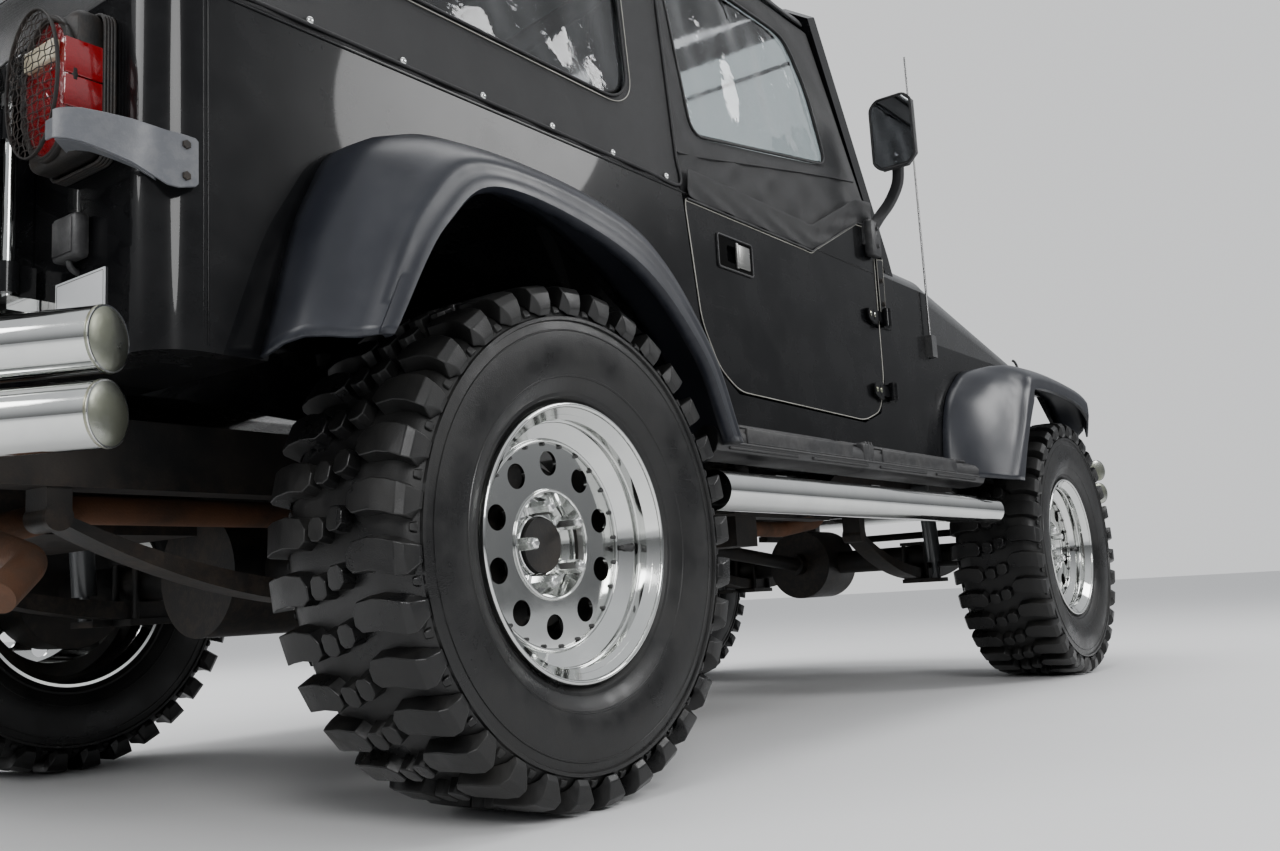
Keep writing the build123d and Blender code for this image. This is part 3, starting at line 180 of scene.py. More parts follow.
def ring_profile(radius, sides=12):
    """A round profile of that radius."""
    angle = np.linspace(0, 2 * np.pi, sides, endpoint=False)
    return np.stack([radius * np.cos(angle), radius * np.sin(angle)], 1)


def bar_profile(width, height, corner):
    """A rounded rectangle: quarter circles of radius corner about its four inner corners."""
    quarter = np.linspace(0, np.pi / 2, 3)
    angles = np.concatenate([quarter + k * np.pi / 2 for k in range(4)])
    sx = np.repeat([1, -1, -1, 1], len(quarter)) * (width / 2 - corner)
    sy = np.repeat([1, 1, -1, -1], len(quarter)) * (height / 2 - corner)
    return np.stack([sx + corner * np.cos(angles), sy + corner * np.sin(angles)], 1)


def wire(points, radius, closed=False, sides=10, steps=6):
    """A round wire along a smooth path."""
    path = smooth_path(points, steps, closed)
    spread = np.ptp(path, axis=0)
    hint = np.eye(3)[int(np.argmin(spread))]
    return carried(path, ring_profile(radius, sides), hint, closed)


def pillow_block(low, high, corner=0.004, steps=3):
    """A box with rounded edges: rings of a rounded rectangle that shrink towards both ends.

    Their edges are pulled in by corner (1 - sin t) at a height of corner (1 - cos t) from each end.
    """
    low, high = np.asarray(low, float), np.asarray(high, float)
    size, middle = high - low, (low + high) / 2
    corner = min(corner, 0.45 * float(size.min()))
    quarter = np.linspace(0, np.pi / 2, steps)
    pull = np.concatenate([corner * (1 - np.sin(quarter)), corner * (1 - np.sin(quarter[::-1]))])
    rise = corner * (1 - np.cos(quarter)) - size[2] / 2
    height = np.concatenate([rise, -rise[::-1]])
    rings = []
    for inset, z in zip(pull, height):
        ring = bar_profile(size[0] - 2 * inset, size[1] - 2 * inset, max(corner - inset, 1e-4) + 1e-4)
        rings.append(np.column_stack([ring, np.full(len(ring), z)]))
    rings = [rings[0] * [0, 0, 1]] + rings + [rings[-1] * [0, 0, 1]]
    return grid(np.array(rings) + middle, close_columns=True)


def shifted(shape, by):
    """A shape moved by (x, y, z)."""
    return shape[0] + np.asarray(by, float), shape[1]


def set_at(shape, place, out):
    """A shape turned about Z, stood at a place with its Z along out."""
    return shifted((shape[0] @ basis(out).T, shape[1]), place)


def side_block(side, low, high, corner=0.004, steps=3):
    """A rounded box given for the left side, or the same box on the right side."""
    low_y, high_y = sorted((side * low[1], side * high[1]))
    return pillow_block((low[0], low_y, low[2]), (high[0], high_y, high[2]), corner, steps)


def rectangle(low_a, high_a, low_b, high_b):
    """The four corners (a, b) of a rectangle."""
    return [(low_a, low_b), (high_a, low_b), (high_a, high_b), (low_a, high_b)]


def at_x(outline, x):
    """An outline (y, z) as points on a plane across the body at x."""
    return np.column_stack([np.full(len(outline), x), outline])


def mesh_piece(name, shape, finish, soft_angle=38, body="body", bevel=0.0, wall=0.0,
               subdivide=0, replaces=()):
    """Makes a Blender object of a shape: doubles merged, normals outwards, edges over soft_angle kept sharp.

    It rides on body and has its finish as its one material.
    """
    points, faces = shape
    mesh = bpy.data.meshes.new(name)
    mesh.from_pydata(points.tolist(), [], faces.tolist())
    work = bmesh.new()
    work.from_mesh(mesh)
    bmesh.ops.remove_doubles(work, verts=work.verts, dist=1e-5)
    bmesh.ops.dissolve_degenerate(work, dist=1e-6, edges=work.edges)
    bmesh.ops.recalc_face_normals(work, faces=work.faces)
    limit = math.radians(soft_angle)
    for edge in work.edges:
        edge.smooth = len(edge.link_faces) != 2 or edge.calc_face_angle(0) < limit
    for face in work.faces:
        face.smooth = True
    work.to_mesh(mesh)
    work.free()
    piece = bpy.data.objects.new(name, mesh)
    bpy.context.scene.collection.objects.link(piece)
    mesh.materials.append(finish)
    if wall:
        thick = piece.modifiers.new("wall", "SOLIDIFY")
        thick.thickness, thick.offset = wall, 0
    if bevel:
        edges = piece.modifiers.new("edges", "BEVEL")
        edges.width, edges.segments, edges.limit_method = bevel, 2, "ANGLE"
        edges.angle_limit = math.radians(soft_angle)
    if subdivide:
        levels = piece.modifiers.new("round", "SUBSURF")
        levels.levels = levels.render_levels = subdivide
    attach(piece, body)
    if replaces:
        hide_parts(*replaces)
    return piece


# Shader groups


def group(name, inputs, outputs):
    """An empty shader group with named inputs (name, kind, value) and outputs (name, kind)."""
    made = bpy.data.node_groups.new(name, "ShaderNodeTree")
    for label, kind, value in inputs:
        made.interface.new_socket(label, in_out="INPUT", socket_type=kind).default_value = value
    for label, kind in outputs:
        made.interface.new_socket(label, in_out="OUTPUT", socket_type=kind)
    return made, made.nodes.new("NodeGroupInput"), made.nodes.new("NodeGroupOutput")


def feed(tree, socket, value):
    """Links a socket to an input, or sets a plain value there."""
    if isinstance(value, bpy.types.NodeSocket):
        tree.links.new(value, socket)
    else:
        socket.default_value = value


def z_of(tree, vector):
    """The Z of a vector."""
    node = tree.nodes.new("ShaderNodeSeparateXYZ")
    tree.links.new(vector, node.inputs[0])
    return node.outputs["Z"]


def math_node(tree, operation, first, second=None, clamp=False):
    """A Math node of that operation fed by sockets or numbers; gives its output."""
    node = tree.nodes.new("ShaderNodeMath")
    node.operation, node.use_clamp = operation, clamp
    for socket, value in zip(node.inputs, (first, second)):
        if value is not None:
            feed(tree, socket, value)
    return node.outputs[0]


def noise_node(tree, vector, scale, detail=4.0, rough=0.55):
    """A Noise node read at a vector; scale is a number or a socket; gives its factor."""
    node = tree.nodes.new("ShaderNodeTexNoise")
    node.inputs["Detail"].default_value = detail
    node.inputs["Roughness"].default_value = rough
    feed(tree, node.inputs["Scale"], scale)
    feed(tree, node.inputs["Vector"], vector)
    return node.outputs[0]


def range_node(tree, value, low, high, to_low=0.0, to_high=1.0, smooth=True):
    """Maps low..high to to_low..to_high, clamped."""
    node = tree.nodes.new("ShaderNodeMapRange")
    node.interpolation_type = "SMOOTHSTEP" if smooth else "LINEAR"
    for label, number in (("From Min", low), ("From Max", high), ("To Min", to_low), ("To Max", to_high)):
        node.inputs[label].default_value = number
    tree.links.new(value, node.inputs["Value"])
    return node.outputs[0]


VECTOR_INPUT = ("Vector", "NodeSocketVector", (0, 0, 0))


def mask_group(name, amount):
    """A group with a vector and an amount: its tree, its vector, and done, which ends it.

    done makes the mask: the product of its factors and the amount.
    """
    made, given, result = group(name, [VECTOR_INPUT, ("Amount", "NodeSocketFloat", amount)],
                                [("Mask", "NodeSocketFloat")])

    def done(mask, *factors):
        for factor in factors:
            mask = math_node(made, "MULTIPLY", mask, factor)
        made.links.new(math_node(made, "MULTIPLY", mask, given.outputs["Amount"], True),
                       result.inputs["Mask"])
        return made

    return made, given.outputs["Vector"], done


def grain_group():
    """Fine moulded or sprayed grain: a cell pattern and a noise give a height, a slow noise a mottle mask."""
    made, given, result = group(
        "grain", [VECTOR_INPUT, ("Scale", "NodeSocketFloat", 400.0)],
        [("Height", "NodeSocketFloat"), ("Mottle", "NodeSocketFloat")],
    )
    vector, scale = given.outputs["Vector"], given.outputs["Scale"]
    cells = made.nodes.new("ShaderNodeTexVoronoi")
    made.links.new(vector, cells.inputs["Vector"])
    made.links.new(scale, cells.inputs["Scale"])
    fine = noise_node(made, vector, scale, 2.0)
    slow = noise_node(made, vector, 7.0, 5.0, 0.6)
    height = math_node(made, "ADD", cells.outputs["Distance"], fine)
    made.links.new(height, result.inputs["Height"])
    made.links.new(range_node(made, slow, 0.35, 0.68), result.inputs["Mottle"])
    return made


def wear_group():
    """Worn edges: where the surface is sharply convex, broken up by noise."""
    made, vector, done = mask_group("edge_wear", 0.5)
    edge = range_node(made, made.nodes.new("ShaderNodeNewGeometry").outputs["Pointiness"], 0.52, 0.6)
    return done(edge, range_node(made, noise_node(made, vector, 60.0, 6.0, 0.7), 0.42, 0.62))


def dust_group():
    """Road dust: thickest near the ground, on faces that look up, and in soft patches."""
    made, vector, done = mask_group("road_dust", 0.3)
    low = range_node(made, z_of(made, vector), 0.05, 1.0, 1.0, 0.12)
    normal = made.nodes.new("ShaderNodeNewGeometry").outputs["Normal"]
    upward = range_node(made, z_of(made, normal), -0.2, 1.0, 0.35, 1.0)
    return done(low, upward, range_node(made, noise_node(made, vector, 14.0, 8.0, 0.68), 0.38, 0.75))


def weave_group():
    """Woven cloth under vinyl: two crossed waves give threads, and the higher one shows."""
    made, given, result = group(
        "weave", [VECTOR_INPUT, ("Scale", "NodeSocketFloat", 500.0)],
        [("Height", "NodeSocketFloat")],
    )
    waves = []
    for direction in ("X", "Z"):
        wave = made.nodes.new("ShaderNodeTexWave")
        wave.bands_direction = direction
        wave.inputs["Distortion"].default_value = 0.4
        made.links.new(given.outputs["Vector"], wave.inputs["Vector"])
        made.links.new(given.outputs["Scale"], wave.inputs["Scale"])
        waves.append(wave.outputs["Fac"])
    made.links.new(math_node(made, "MAXIMUM", *waves), result.inputs["Height"])
    return made


def scuff_group():
    """Thin scuffs and swirl marks: a stretched noise cut to narrow bands, in patches."""
    made, vector, done = mask_group("scuffs", 0.5)
    stretch = made.nodes.new("ShaderNodeMapping")
    stretch.inputs["Scale"].default_value = (6, 30, 90)
    stretch.inputs["Rotation"].default_value = (0.3, 0.2, 0.5)
    feed(made, stretch.inputs["Vector"], vector)
    lines = range_node(made, noise_node(made, stretch.outputs[0], 1.6, 3.0, 0.7), 0.6, 0.66)
    return done(lines, range_node(made, noise_node(made, vector, 5.0, 4.0), 0.48, 0.66))


GRAIN = grain_group()
WEAR = wear_group()
DUST = dust_group()
WEAVE = weave_group()
SCUFF = scuff_group()
DUST_COLOUR = (0.2, 0.175, 0.14, 1)


def placed_group(tree, made, vector, **values):
    """A group placed in a material, read at vector, with its own numbers."""
    node = tree.nodes.new("ShaderNodeGroup")
    node.node_tree = made
    tree.links.new(vector, node.inputs["Vector"])
    for label, value in values.items():
        node.inputs[label].default_value = value
    return node.outputs


def mixed(tree, mask, first, second):
    """Colour first where the mask is 0 and second where it is 1; each is a colour or a socket."""
    node = tree.nodes.new("ShaderNodeMix")
    node.data_type = "RGBA"
    tree.links.new(mask, node.inputs[0])
    feed(tree, node.inputs[6], first)
    feed(tree, node.inputs[7], second)
    return node.outputs[2]


def finish(name, colour, rough, metal=0.0, mottle=None, grain=(400.0, 0.0), weave=None, wear=0.0,
           wear_colour=(0.35, 0.35, 0.35, 1), dust=0.0, scuffs=0.0, coat=0.0, coat_rough=0.05,
           specular=0.5, sheen=0.0, rough_spread=0.12, waves=(0.0, 0.0)):
    """A solid finish: colour mottled, worn and dusted by the groups, roughness that follows, grain as bump.

    grain and weave are (scale, depth in metres); waves is (scale, depth) of slow dents.
    """
    made = bpy.data.materials.new(name)
    made.use_nodes = True
    made.diffuse_color = (*colour, 1)
    tree = made.node_tree
    shader = tree.nodes["Principled BSDF"]
    shader.inputs["Metallic"].default_value = metal
    shader.inputs["Coat Weight"].default_value = coat
    shader.inputs["Coat Roughness"].default_value = coat_rough
    shader.inputs["Specular IOR Level"].default_value = specular
    if sheen:
        shader.inputs["Sheen Weight"].default_value = sheen
        shader.inputs["Sheen Roughness"].default_value = 0.5
    place = tree.nodes.new("ShaderNodeTexCoord").outputs["Object"]
    fine = placed_group(tree, GRAIN, place, Scale=grain[0])
    second = tuple(mottle) if mottle else tuple(min(1.0, 1.25 * part + 0.004) for part in colour)
    shade = mixed(tree, fine["Mottle"], (*colour, 1), (*second, 1))
    roughness = range_node(tree, fine["Mottle"], 0, 1, max(0.02, rough - rough_spread / 2),
                           rough + rough_spread / 2, False)
    if scuffs:
        mask = placed_group(tree, SCUFF, place, Amount=scuffs)["Mask"]
        roughness = math_node(tree, "ADD", roughness, math_node(tree, "MULTIPLY", mask, 0.35), True)
        shade = mixed(tree, mask, shade, tuple(min(1.0, part * 2.2 + 0.02) for part in colour) + (1,))
    if wear:
        shade = mixed(tree, placed_group(tree, WEAR, place, Amount=wear)["Mask"], shade, wear_colour)
    if dust:
        mask = placed_group(tree, DUST, place, Amount=dust)["Mask"]
        shade = mixed(tree, mask, shade, DUST_COLOUR)
        roughness = math_node(tree, "ADD", roughness, math_node(tree, "MULTIPLY", mask, 0.6), True)
        if coat:
            shield = math_node(tree, "MULTIPLY", math_node(tree, "SUBTRACT", 1.0, mask), coat, True)
            tree.links.new(shield, shader.inputs["Coat Weight"])
    tree.links.new(shade, shader.inputs["Base Color"])
    tree.links.new(roughness, shader.inputs["Roughness"])
    normal, heights = None, []
    if grain[1]:
        heights.append((fine["Height"], grain[1]))
    if weave:
        heights.append((placed_group(tree, WEAVE, place, Scale=weave[0])["Height"], weave[1]))
    if waves[1]:
        heights.append((noise_node(tree, place, waves[0], 3.0, 0.5), waves[1]))
    for height, depth in heights:
        bump = tree.nodes.new("ShaderNodeBump")
        bump.inputs["Distance"].default_value = depth
        bump.inputs["Strength"].default_value = 1.0
        tree.links.new(height, bump.inputs["Height"])
        if normal is not None:
            tree.links.new(normal, bump.inputs["Normal"])
        normal = bump.outputs["Normal"]
    if normal is not None:
        tree.links.new(normal, shader.inputs["Normal"])
    return made


def clear_finish(name, colour, rough, ior=1.45, waves=(6.0, 0.0), mottle=0.0):
    """Glass or clear vinyl: transmission with slow waves as bump; milky patches where mottle is over 0."""
    made = bpy.data.materials.new(name)
    made.use_nodes = True
    made.diffuse_color = (*colour, 1)
    tree = made.node_tree
    shader = tree.nodes["Principled BSDF"]
    shader.inputs["Transmission Weight"].default_value = 1.0
    shader.inputs["IOR"].default_value = ior
    place = tree.nodes.new("ShaderNodeTexCoord").outputs["Object"]
    haze = range_node(tree, noise_node(tree, place, 9.0, 5.0, 0.6), 0.3, 0.8, rough, rough + mottle)
    tree.links.new(haze, shader.inputs["Roughness"])
    tint = mixed(tree, haze, (*colour, 1), tuple(0.9 * part for part in colour) + (1,))
    tree.links.new(tint, shader.inputs["Base Color"])
    if waves[1]:
        bump = tree.nodes.new("ShaderNodeBump")
        bump.inputs["Distance"].default_value = waves[1]
        tree.links.new(noise_node(tree, place, waves[0], 4.0, 0.55), bump.inputs["Height"])
        tree.links.new(bump.outputs["Normal"], shader.inputs["Normal"])
    return made


BODY_PAINT = finish("gloss_black_paint", (0.0022, 0.0023, 0.0028), 0.26, coat=0.3, coat_rough=0.03,
                    specular=0.07, grain=(240.0, 0.00001), dust=0.03, scuffs=0.16, rough_spread=0.08,
                    waves=(2.2, 0.0025))
FLARE_PLASTIC = finish("satin_flare_plastic", (0.0135, 0.015, 0.0205), 0.34, mottle=(0.0175, 0.0195, 0.026),
                       grain=(900.0, 0.00004), dust=0.06, scuffs=0.12, wear=0.2,
                       wear_colour=(0.07, 0.075, 0.085, 1), specular=0.42)
TRIM_PLASTIC = finish("black_trim_plastic", (0.012, 0.012, 0.013), 0.48, grain=(700.0, 0.00008), dust=0.22,
                      wear=0.3, wear_colour=(0.12, 0.12, 0.12, 1))
CHROME = finish("bright_chrome", (0.62, 0.63, 0.62), 0.07, metal=1.0, mottle=(0.7, 0.71, 0.69), dust=0.05,
                scuffs=0.1, rough_spread=0.04, waves=(3.0, 0.0006))
NUT_CHROME = finish("nut_chrome", (0.8, 0.81, 0.8), 0.24, metal=1.0, mottle=(0.7, 0.71, 0.7), dust=0.06,
                    rough_spread=0.08)
DULL_CHROME = finish("dull_chrome", (0.44, 0.45, 0.42), 0.26, metal=1.0, mottle=(0.22, 0.23, 0.18),
                     dust=0.12, scuffs=0.4, rough_spread=0.22, grain=(60.0, 0.0002), wear=0.5,
                     wear_colour=(0.45, 0.38, 0.2, 1))
TYRE_RUBBER = finish("tyre_rubber", (0.005, 0.005, 0.0053), 0.4, mottle=(0.0088, 0.0088, 0.0086),
                     grain=(520.0, 0.00012), dust=0.05, wear=0.25, wear_colour=(0.022, 0.022, 0.021, 1),
                     waves=(26.0, 0.0008), specular=0.42, rough_spread=0.28, scuffs=0.15)
CHASSIS_PAINT = finish("chassis_black", (0.007, 0.007, 0.007), 0.55, mottle=(0.018, 0.015, 0.013),
                       grain=(300.0, 0.00015), dust=0.16, wear=0.25, wear_colour=(0.07, 0.045, 0.03, 1),
                       specular=0.35)
SHOCK_PAINT = finish("shock_grey", (0.08, 0.085, 0.09), 0.35, dust=0.35, grain=(300.0, 0.00005), coat=0.3)
ENGINE_IRON = finish("engine_iron", (0.035, 0.034, 0.032), 0.62, metal=0.3, mottle=(0.06, 0.045, 0.03),
                     grain=(220.0, 0.0004), dust=0.4)
RADIATOR_METAL = finish("radiator_metal", (0.02, 0.02, 0.02), 0.5, metal=0.6, weave=(900.0, 0.0006),
                        dust=0.3)
RUSTY_PIPE = finish("rusty_pipe", (0.13, 0.055, 0.025), 0.75, mottle=(0.045, 0.025, 0.016), metal=0.25,
                    grain=(260.0, 0.0003), dust=0.25)
TOP_FABRIC = finish("black_top_vinyl", (0.0065, 0.0065, 0.0072), 0.44, mottle=(0.011, 0.011, 0.012),
                    weave=(420.0, 0.00012), grain=(800.0, 0.00005), dust=0.07, waves=(9.0, 0.0024),
                    specular=0.35)
SEAT_FABRIC = finish("seat_cloth", (0.03, 0.031, 0.034), 0.85, mottle=(0.045, 0.046, 0.05),
                     weave=(700.0, 0.0003), sheen=0.4, specular=0.2)
WHEEL_GRIP = finish("grip_leather", (0.012, 0.012, 0.012), 0.42, grain=(650.0, 0.0002))
BRACKET_GREY = finish("bracket_grey", (0.105, 0.11, 0.122), 0.42, mottle=(0.09, 0.094, 0.104),
                      grain=(350.0, 0.00008), dust=0.1, wear=0.25, wear_colour=(0.2, 0.2, 0.2, 1),
                      specular=0.4)
ANTENNA_METAL = finish("antenna_steel", (0.18, 0.18, 0.18), 0.25, metal=0.9, grain=(200.0, 0.00002))
# Pale line colour: painted highlight where light catches the edges of the door and windscreen hinge plate;
# also the colour of the quarter window's stitches
PALE_HIGHLIGHT_AND_THREAD = finish("painted_highlight_and_thread_line", (0.4, 0.39, 0.35), 0.45, mottle=(0.22, 0.215, 0.19),
                   grain=(300.0, 0.00005))
RED_LENS = finish("red_lens", (0.2, 0.002, 0.005), 0.16, coat=0.8, mottle=(0.12, 0.001, 0.003), dust=0.15,
                  grain=(160.0, 0.0002))
CREAM_LENS = finish("cream_lens", (0.62, 0.56, 0.42), 0.25, coat=0.5, mottle=(0.5, 0.44, 0.32), dust=0.15,
                    grain=(160.0, 0.0002))
AMBER_LENS = finish("amber_lens", (0.42, 0.12, 0.01), 0.2, coat=0.7, grain=(160.0, 0.0002))
PALE_PLATE = finish("pale_plate", (0.62, 0.63, 0.64), 0.4, mottle=(0.58, 0.59, 0.6))
HANDLE_BLACK = finish("handle_black", (0.001, 0.001, 0.001), 0.8, specular=0.05)
HANDLE_CHROME = finish("handle_chrome", (0.3, 0.3, 0.29), 0.3, metal=0.9, mottle=(0.22, 0.22, 0.21),
                       dust=0.1, scuffs=0.3)
MIRROR_FACE = finish("mirror_face", (0.26, 0.27, 0.28), 0.03, metal=1.0, mottle=(0.27, 0.28, 0.29),
                     rough_spread=0.01)
DARK_GLASS = clear_finish("screen_glass", (0.72, 0.8, 0.8), 0.0, waves=(0.0, 0.0))
CLEAR_FILM = clear_finish("clear_vinyl", (0.62, 0.64, 0.66), 0.03, ior=1.35, waves=(7.0, 0.004), mottle=0.1)
LAMP_GLASS = clear_finish("lamp_glass", (0.95, 0.96, 0.97), 0.02, waves=(40.0, 0.002))

FINISHES = {
    "body_paint": BODY_PAINT, "flare_plastic": FLARE_PLASTIC, "trim_plastic": TRIM_PLASTIC,
    "chrome": CHROME, "tyre_rubber": TYRE_RUBBER, "chassis_paint": CHASSIS_PAINT, "shock_paint": SHOCK_PAINT,
    "engine_iron": ENGINE_IRON, "radiator_metal": RADIATOR_METAL, "rusty_pipe": RUSTY_PIPE,
    "top_fabric": TOP_FABRIC, "clear_film": CLEAR_FILM, "screen_glass": DARK_GLASS,
    "seat_fabric": SEAT_FABRIC, "wheel_grip": WHEEL_GRIP, "lamp_lens": LAMP_GLASS, "tail_lens": RED_LENS,
    "bracket_grey": BRACKET_GREY, "antenna_metal": ANTENNA_METAL,
}
SLOT_OF = {made.name: slot for slot, made in FINISHES.items()}
SLOT_OF.update({
    "nut_chrome": "chrome", "dull_chrome": "chrome", "mirror_face": "chrome",
    "painted_highlight_and_thread_line": "body_paint", "cream_lens": "tail_lens", "amber_lens": "lamp_lens",
    "pale_plate": "trim_plastic", "handle_black": "trim_plastic", "handle_chrome": "trim_plastic",
})
for part in frame["record"]["subparts"]:
    for holder in nodes[part["node"]].material_slots:
        holder.material = FINISHES[part["material_slot"]]


# Camera and room

FOCAL_PIXELS = 1182.96
CAMERA_PLACE = (-2.3986, -1.935, 0.2947)
YAW, PITCH, ROLL = (math.radians(angle) for angle in (36.2056, 8.3845, -3.2102))


def camera_axes():
    """Right, up and back of a camera that looks along yaw and pitch and is rolled about that line."""
    look = np.array([math.cos(YAW) * math.cos(PITCH), math.sin(YAW) * math.cos(PITCH), math.sin(PITCH)])
    level = np.array([math.sin(YAW), -math.cos(YAW), 0.0])
    over = np.cross(level, look)
    right = level * math.cos(ROLL) + over * math.sin(ROLL)
    up = over * math.cos(ROLL) - level * math.sin(ROLL)
    return np.stack([right, up, -look], 1)


camera = bpy.data.objects.new("camera", bpy.data.cameras.new("camera"))
camera.data.sensor_width = 36
camera.data.lens = FOCAL_PIXELS * 36 / 1280
turn = Matrix(camera_axes().tolist()).to_4x4()
turn.translation = CAMERA_PLACE
camera.matrix_world = turn
bpy.context.scene.collection.objects.link(camera)
bpy.context.scene.camera = camera


def room():
    """A round pale floor, a world that is white to the camera and soft to the object, and five soft lamps."""
    spread = np.linspace(0, 1, 24)[:, None] ** 2 * 60
    angle = np.linspace(0, 2 * np.pi, 64, endpoint=False)
    points = np.stack([spread * np.cos(angle), spread * np.sin(angle),
                       np.zeros((len(spread), len(angle)))], 2)
    shape = grid(points, close_columns=True)
    mesh = bpy.data.meshes.new("floor")
    mesh.from_pydata(shape[0].tolist(), [], shape[1].tolist())
    floor = bpy.data.objects.new("floor", mesh)
    bpy.context.scene.collection.objects.link(floor)
    pale = bpy.data.materials.new("floor_pale")
    pale.use_nodes = True
    tree = pale.node_tree
    shader = tree.nodes["Principled BSDF"]
    shader.inputs["Roughness"].default_value = 0.9
    shader.inputs["Specular IOR Level"].default_value = 0.1
    place = tree.nodes.new("ShaderNodeTexCoord").outputs["Object"]
    tree.links.new(mixed(tree, noise_node(tree, place, 3.0), (0.8, 0.8, 0.8, 1), (0.83, 0.83, 0.83, 1)),
                   shader.inputs["Base Color"])
    mesh.materials.append(pale)
    world = bpy.data.worlds.new("room")
    bpy.context.scene.world = world
    world.use_nodes = True
    tree = world.node_tree
    backdrop, soft, choose = (tree.nodes.new(kind)
                              for kind in ("ShaderNodeBackground", "ShaderNodeBackground",
                                           "ShaderNodeMixShader"))
    backdrop.inputs["Color"].default_value = (0.93, 0.94, 0.95, 1)
    soft.inputs["Color"].default_value = (0.95, 0.97, 1.0, 1)
    rays = tree.nodes.new("ShaderNodeLightPath")
    seen = math_node(tree, "MAXIMUM", rays.outputs["Is Camera Ray"], rays.outputs["Is Transmission Ray"])
    height = z_of(tree, tree.nodes.new("ShaderNodeTexCoord").outputs["Generated"])
    tree.links.new(range_node(tree, height, -0.05, 0.55, 0.16, 0.8), soft.inputs["Strength"])
    tree.links.new(seen, choose.inputs[0])
    tree.links.new(soft.outputs[0], choose.inputs[1])
    tree.links.new(backdrop.outputs[0], choose.inputs[2])
    tree.links.new(choose.outputs[0], tree.nodes["World Output"].inputs["Surface"])
    lamps = [
        ("key_lamp", (-4.2, -4.8, 2.9), (-0.6, -0.4, 0.8), 2.0, 150),
        ("rear_lamp", (-5.6, 1.6, 3.4), (-0.8, 0.0, 0.8), 2.0, 90),
        ("sky_lamp", (0.2, 0.0, 5.6), (0.0, 0.0, 0.8), 5.0, 170),
        ("front_lamp", (3.4, -5.0, 3.8), (0.8, 0.0, 0.8), 2.0, 120),
        ("left_lamp", (-1.0, 5.0, 3.2), (0.0, 0.0, 0.8), 2.6, 110),
    ]
    for name, place, target, size, power in lamps:
        lamp = bpy.data.objects.new(name, bpy.data.lights.new(name, "AREA"))
        lamp.data.shape, lamp.data.size, lamp.data.energy = "DISK", size, power
        aim = Matrix(basis(np.subtract(place, target)).tolist()).to_4x4()
        aim.translation = place
        lamp.matrix_world = aim
        bpy.context.scene.collection.objects.link(lamp)


room()


# Wheels

TREAD_RADIUS = 0.385
LUGS = 32
PIN_CIRCLE = 0.152
STUD_CIRCLE = 0.05715
STUD_TURN = math.radians(18)


def on_wheel(shape, place, spin=0.0):
    """A shape made about Z with the wheel's face up, put on a wheel: X to the wheel's top, turned by spin."""
    centre, out, _, _ = WHEELS[place]
    out = np.array(out, float)
    axes = np.stack([UP, np.cross(out, UP), out], 1)
    c, s = math.cos(spin), math.sin(spin)
    points = shape[0] @ np.array([[c, -s, 0], [s, c, 0], [0, 0, 1]]).T
    return points @ axes.T + np.array(centre), shape[1]


def lug_shape(stations):
    """A tread block: at each station a trapezium that is 3 mm wider each way at its foot.

    A station is (y, r of top, s low, s high, y and r of its foot). s runs round the tyre in metres, and r is
    the distance from the axle.
    """
    rows = capped(np.array([
        [(y, r, low), (y, r, high), (foot_y, foot_r, high + 0.003), (foot_y, foot_r, low - 0.003)]
        for y, r, low, high, foot_y, foot_r in stations
    ]))
    y, r, s = rows[..., 0], rows[..., 1], rows[..., 2]
    angle = s / TREAD_RADIUS
    return grid(np.stack([r * np.cos(angle), r * np.sin(angle), y], 2), close_columns=True)


SHOULDER_LUG = [
    (0.04, 0.384, -0.006, 0.01, 0.038, 0.362),
    (0.052, 0.3845, -0.021, 0.019, 0.05, 0.362),
    (0.082, 0.385, -0.025, 0.017, 0.082, 0.361),
    (0.108, 0.3835, -0.021, 0.021, 0.106, 0.356),
    (0.124, 0.379, -0.017, 0.026, 0.118, 0.35),
    (0.1325, 0.369, -0.013, 0.027, 0.122, 0.345),
    (0.134, 0.356, -0.012, 0.02, 0.1235, 0.342),
    (0.1335, 0.345, -0.01, 0.015, 0.1245, 0.339),
    (0.129, 0.3365, -0.01, 0.014, 0.125, 0.337),
]
MIDDLE_LUG = [
    (0.003, 0.384, -0.008, 0.01, 0.003, 0.363),
    (0.011, 0.385, -0.016, 0.016, 0.01, 0.363),
    (0.024, 0.385, -0.017, 0.015, 0.025, 0.363),
    (0.032, 0.384, -0.009, 0.007, 0.033, 0.363),
]
SIDE_TAB = [
    (0.1205, 0.35, -0.005, 0.005, 0.117, 0.344),
    (0.1245, 0.3445, -0.006, 0.006, 0.119, 0.34),
    (0.1262, 0.3395, -0.006, 0.006, 0.122, 0.337),
]
TYRE_PROFILE = [
    (0.1912, 0.0944), (0.208, 0.099), (0.212, 0.1035), (0.218, 0.109), (0.223, 0.1098), (0.226, 0.1125),
    (0.24, 0.1188), (0.244, 0.1202), (0.245, 0.1217), (0.247, 0.1223), (0.248, 0.1214), (0.26, 0.1248),
    (0.28, 0.1268), (0.3, 0.1274), (0.312, 0.1268), (0.3128, 0.1281), (0.3143, 0.1281), (0.3151, 0.1265),
    (0.318, 0.1262), (0.327, 0.125),
    (0.3285, 0.1285), (0.3335, 0.1282), (0.335, 0.124), (0.344, 0.119), (0.352, 0.112), (0.359, 0.098),
    (0.3625, 0.07), (0.3635, 0.04), (0.364, 0.0),
]


def turned_copies(shape, angles):
    """Copies of a shape turned about Z by each angle."""
    c, s = np.cos(angles), np.sin(angles)
    turns = np.zeros((len(angles), 3, 3))
    turns[:, 0, 0], turns[:, 0, 1], turns[:, 1, 0], turns[:, 1, 1], turns[:, 2, 2] = c, -s, s, c, 1
    return repeated(shape, turns, np.zeros((len(angles), 3)))


def mirrored(shape, axis):
    """The mirror image of a shape in the plane through the origin square to an axis."""
    points = shape[0].copy()
    points[:, axis] *= -1
    return points, shape[1][:, ::-1]


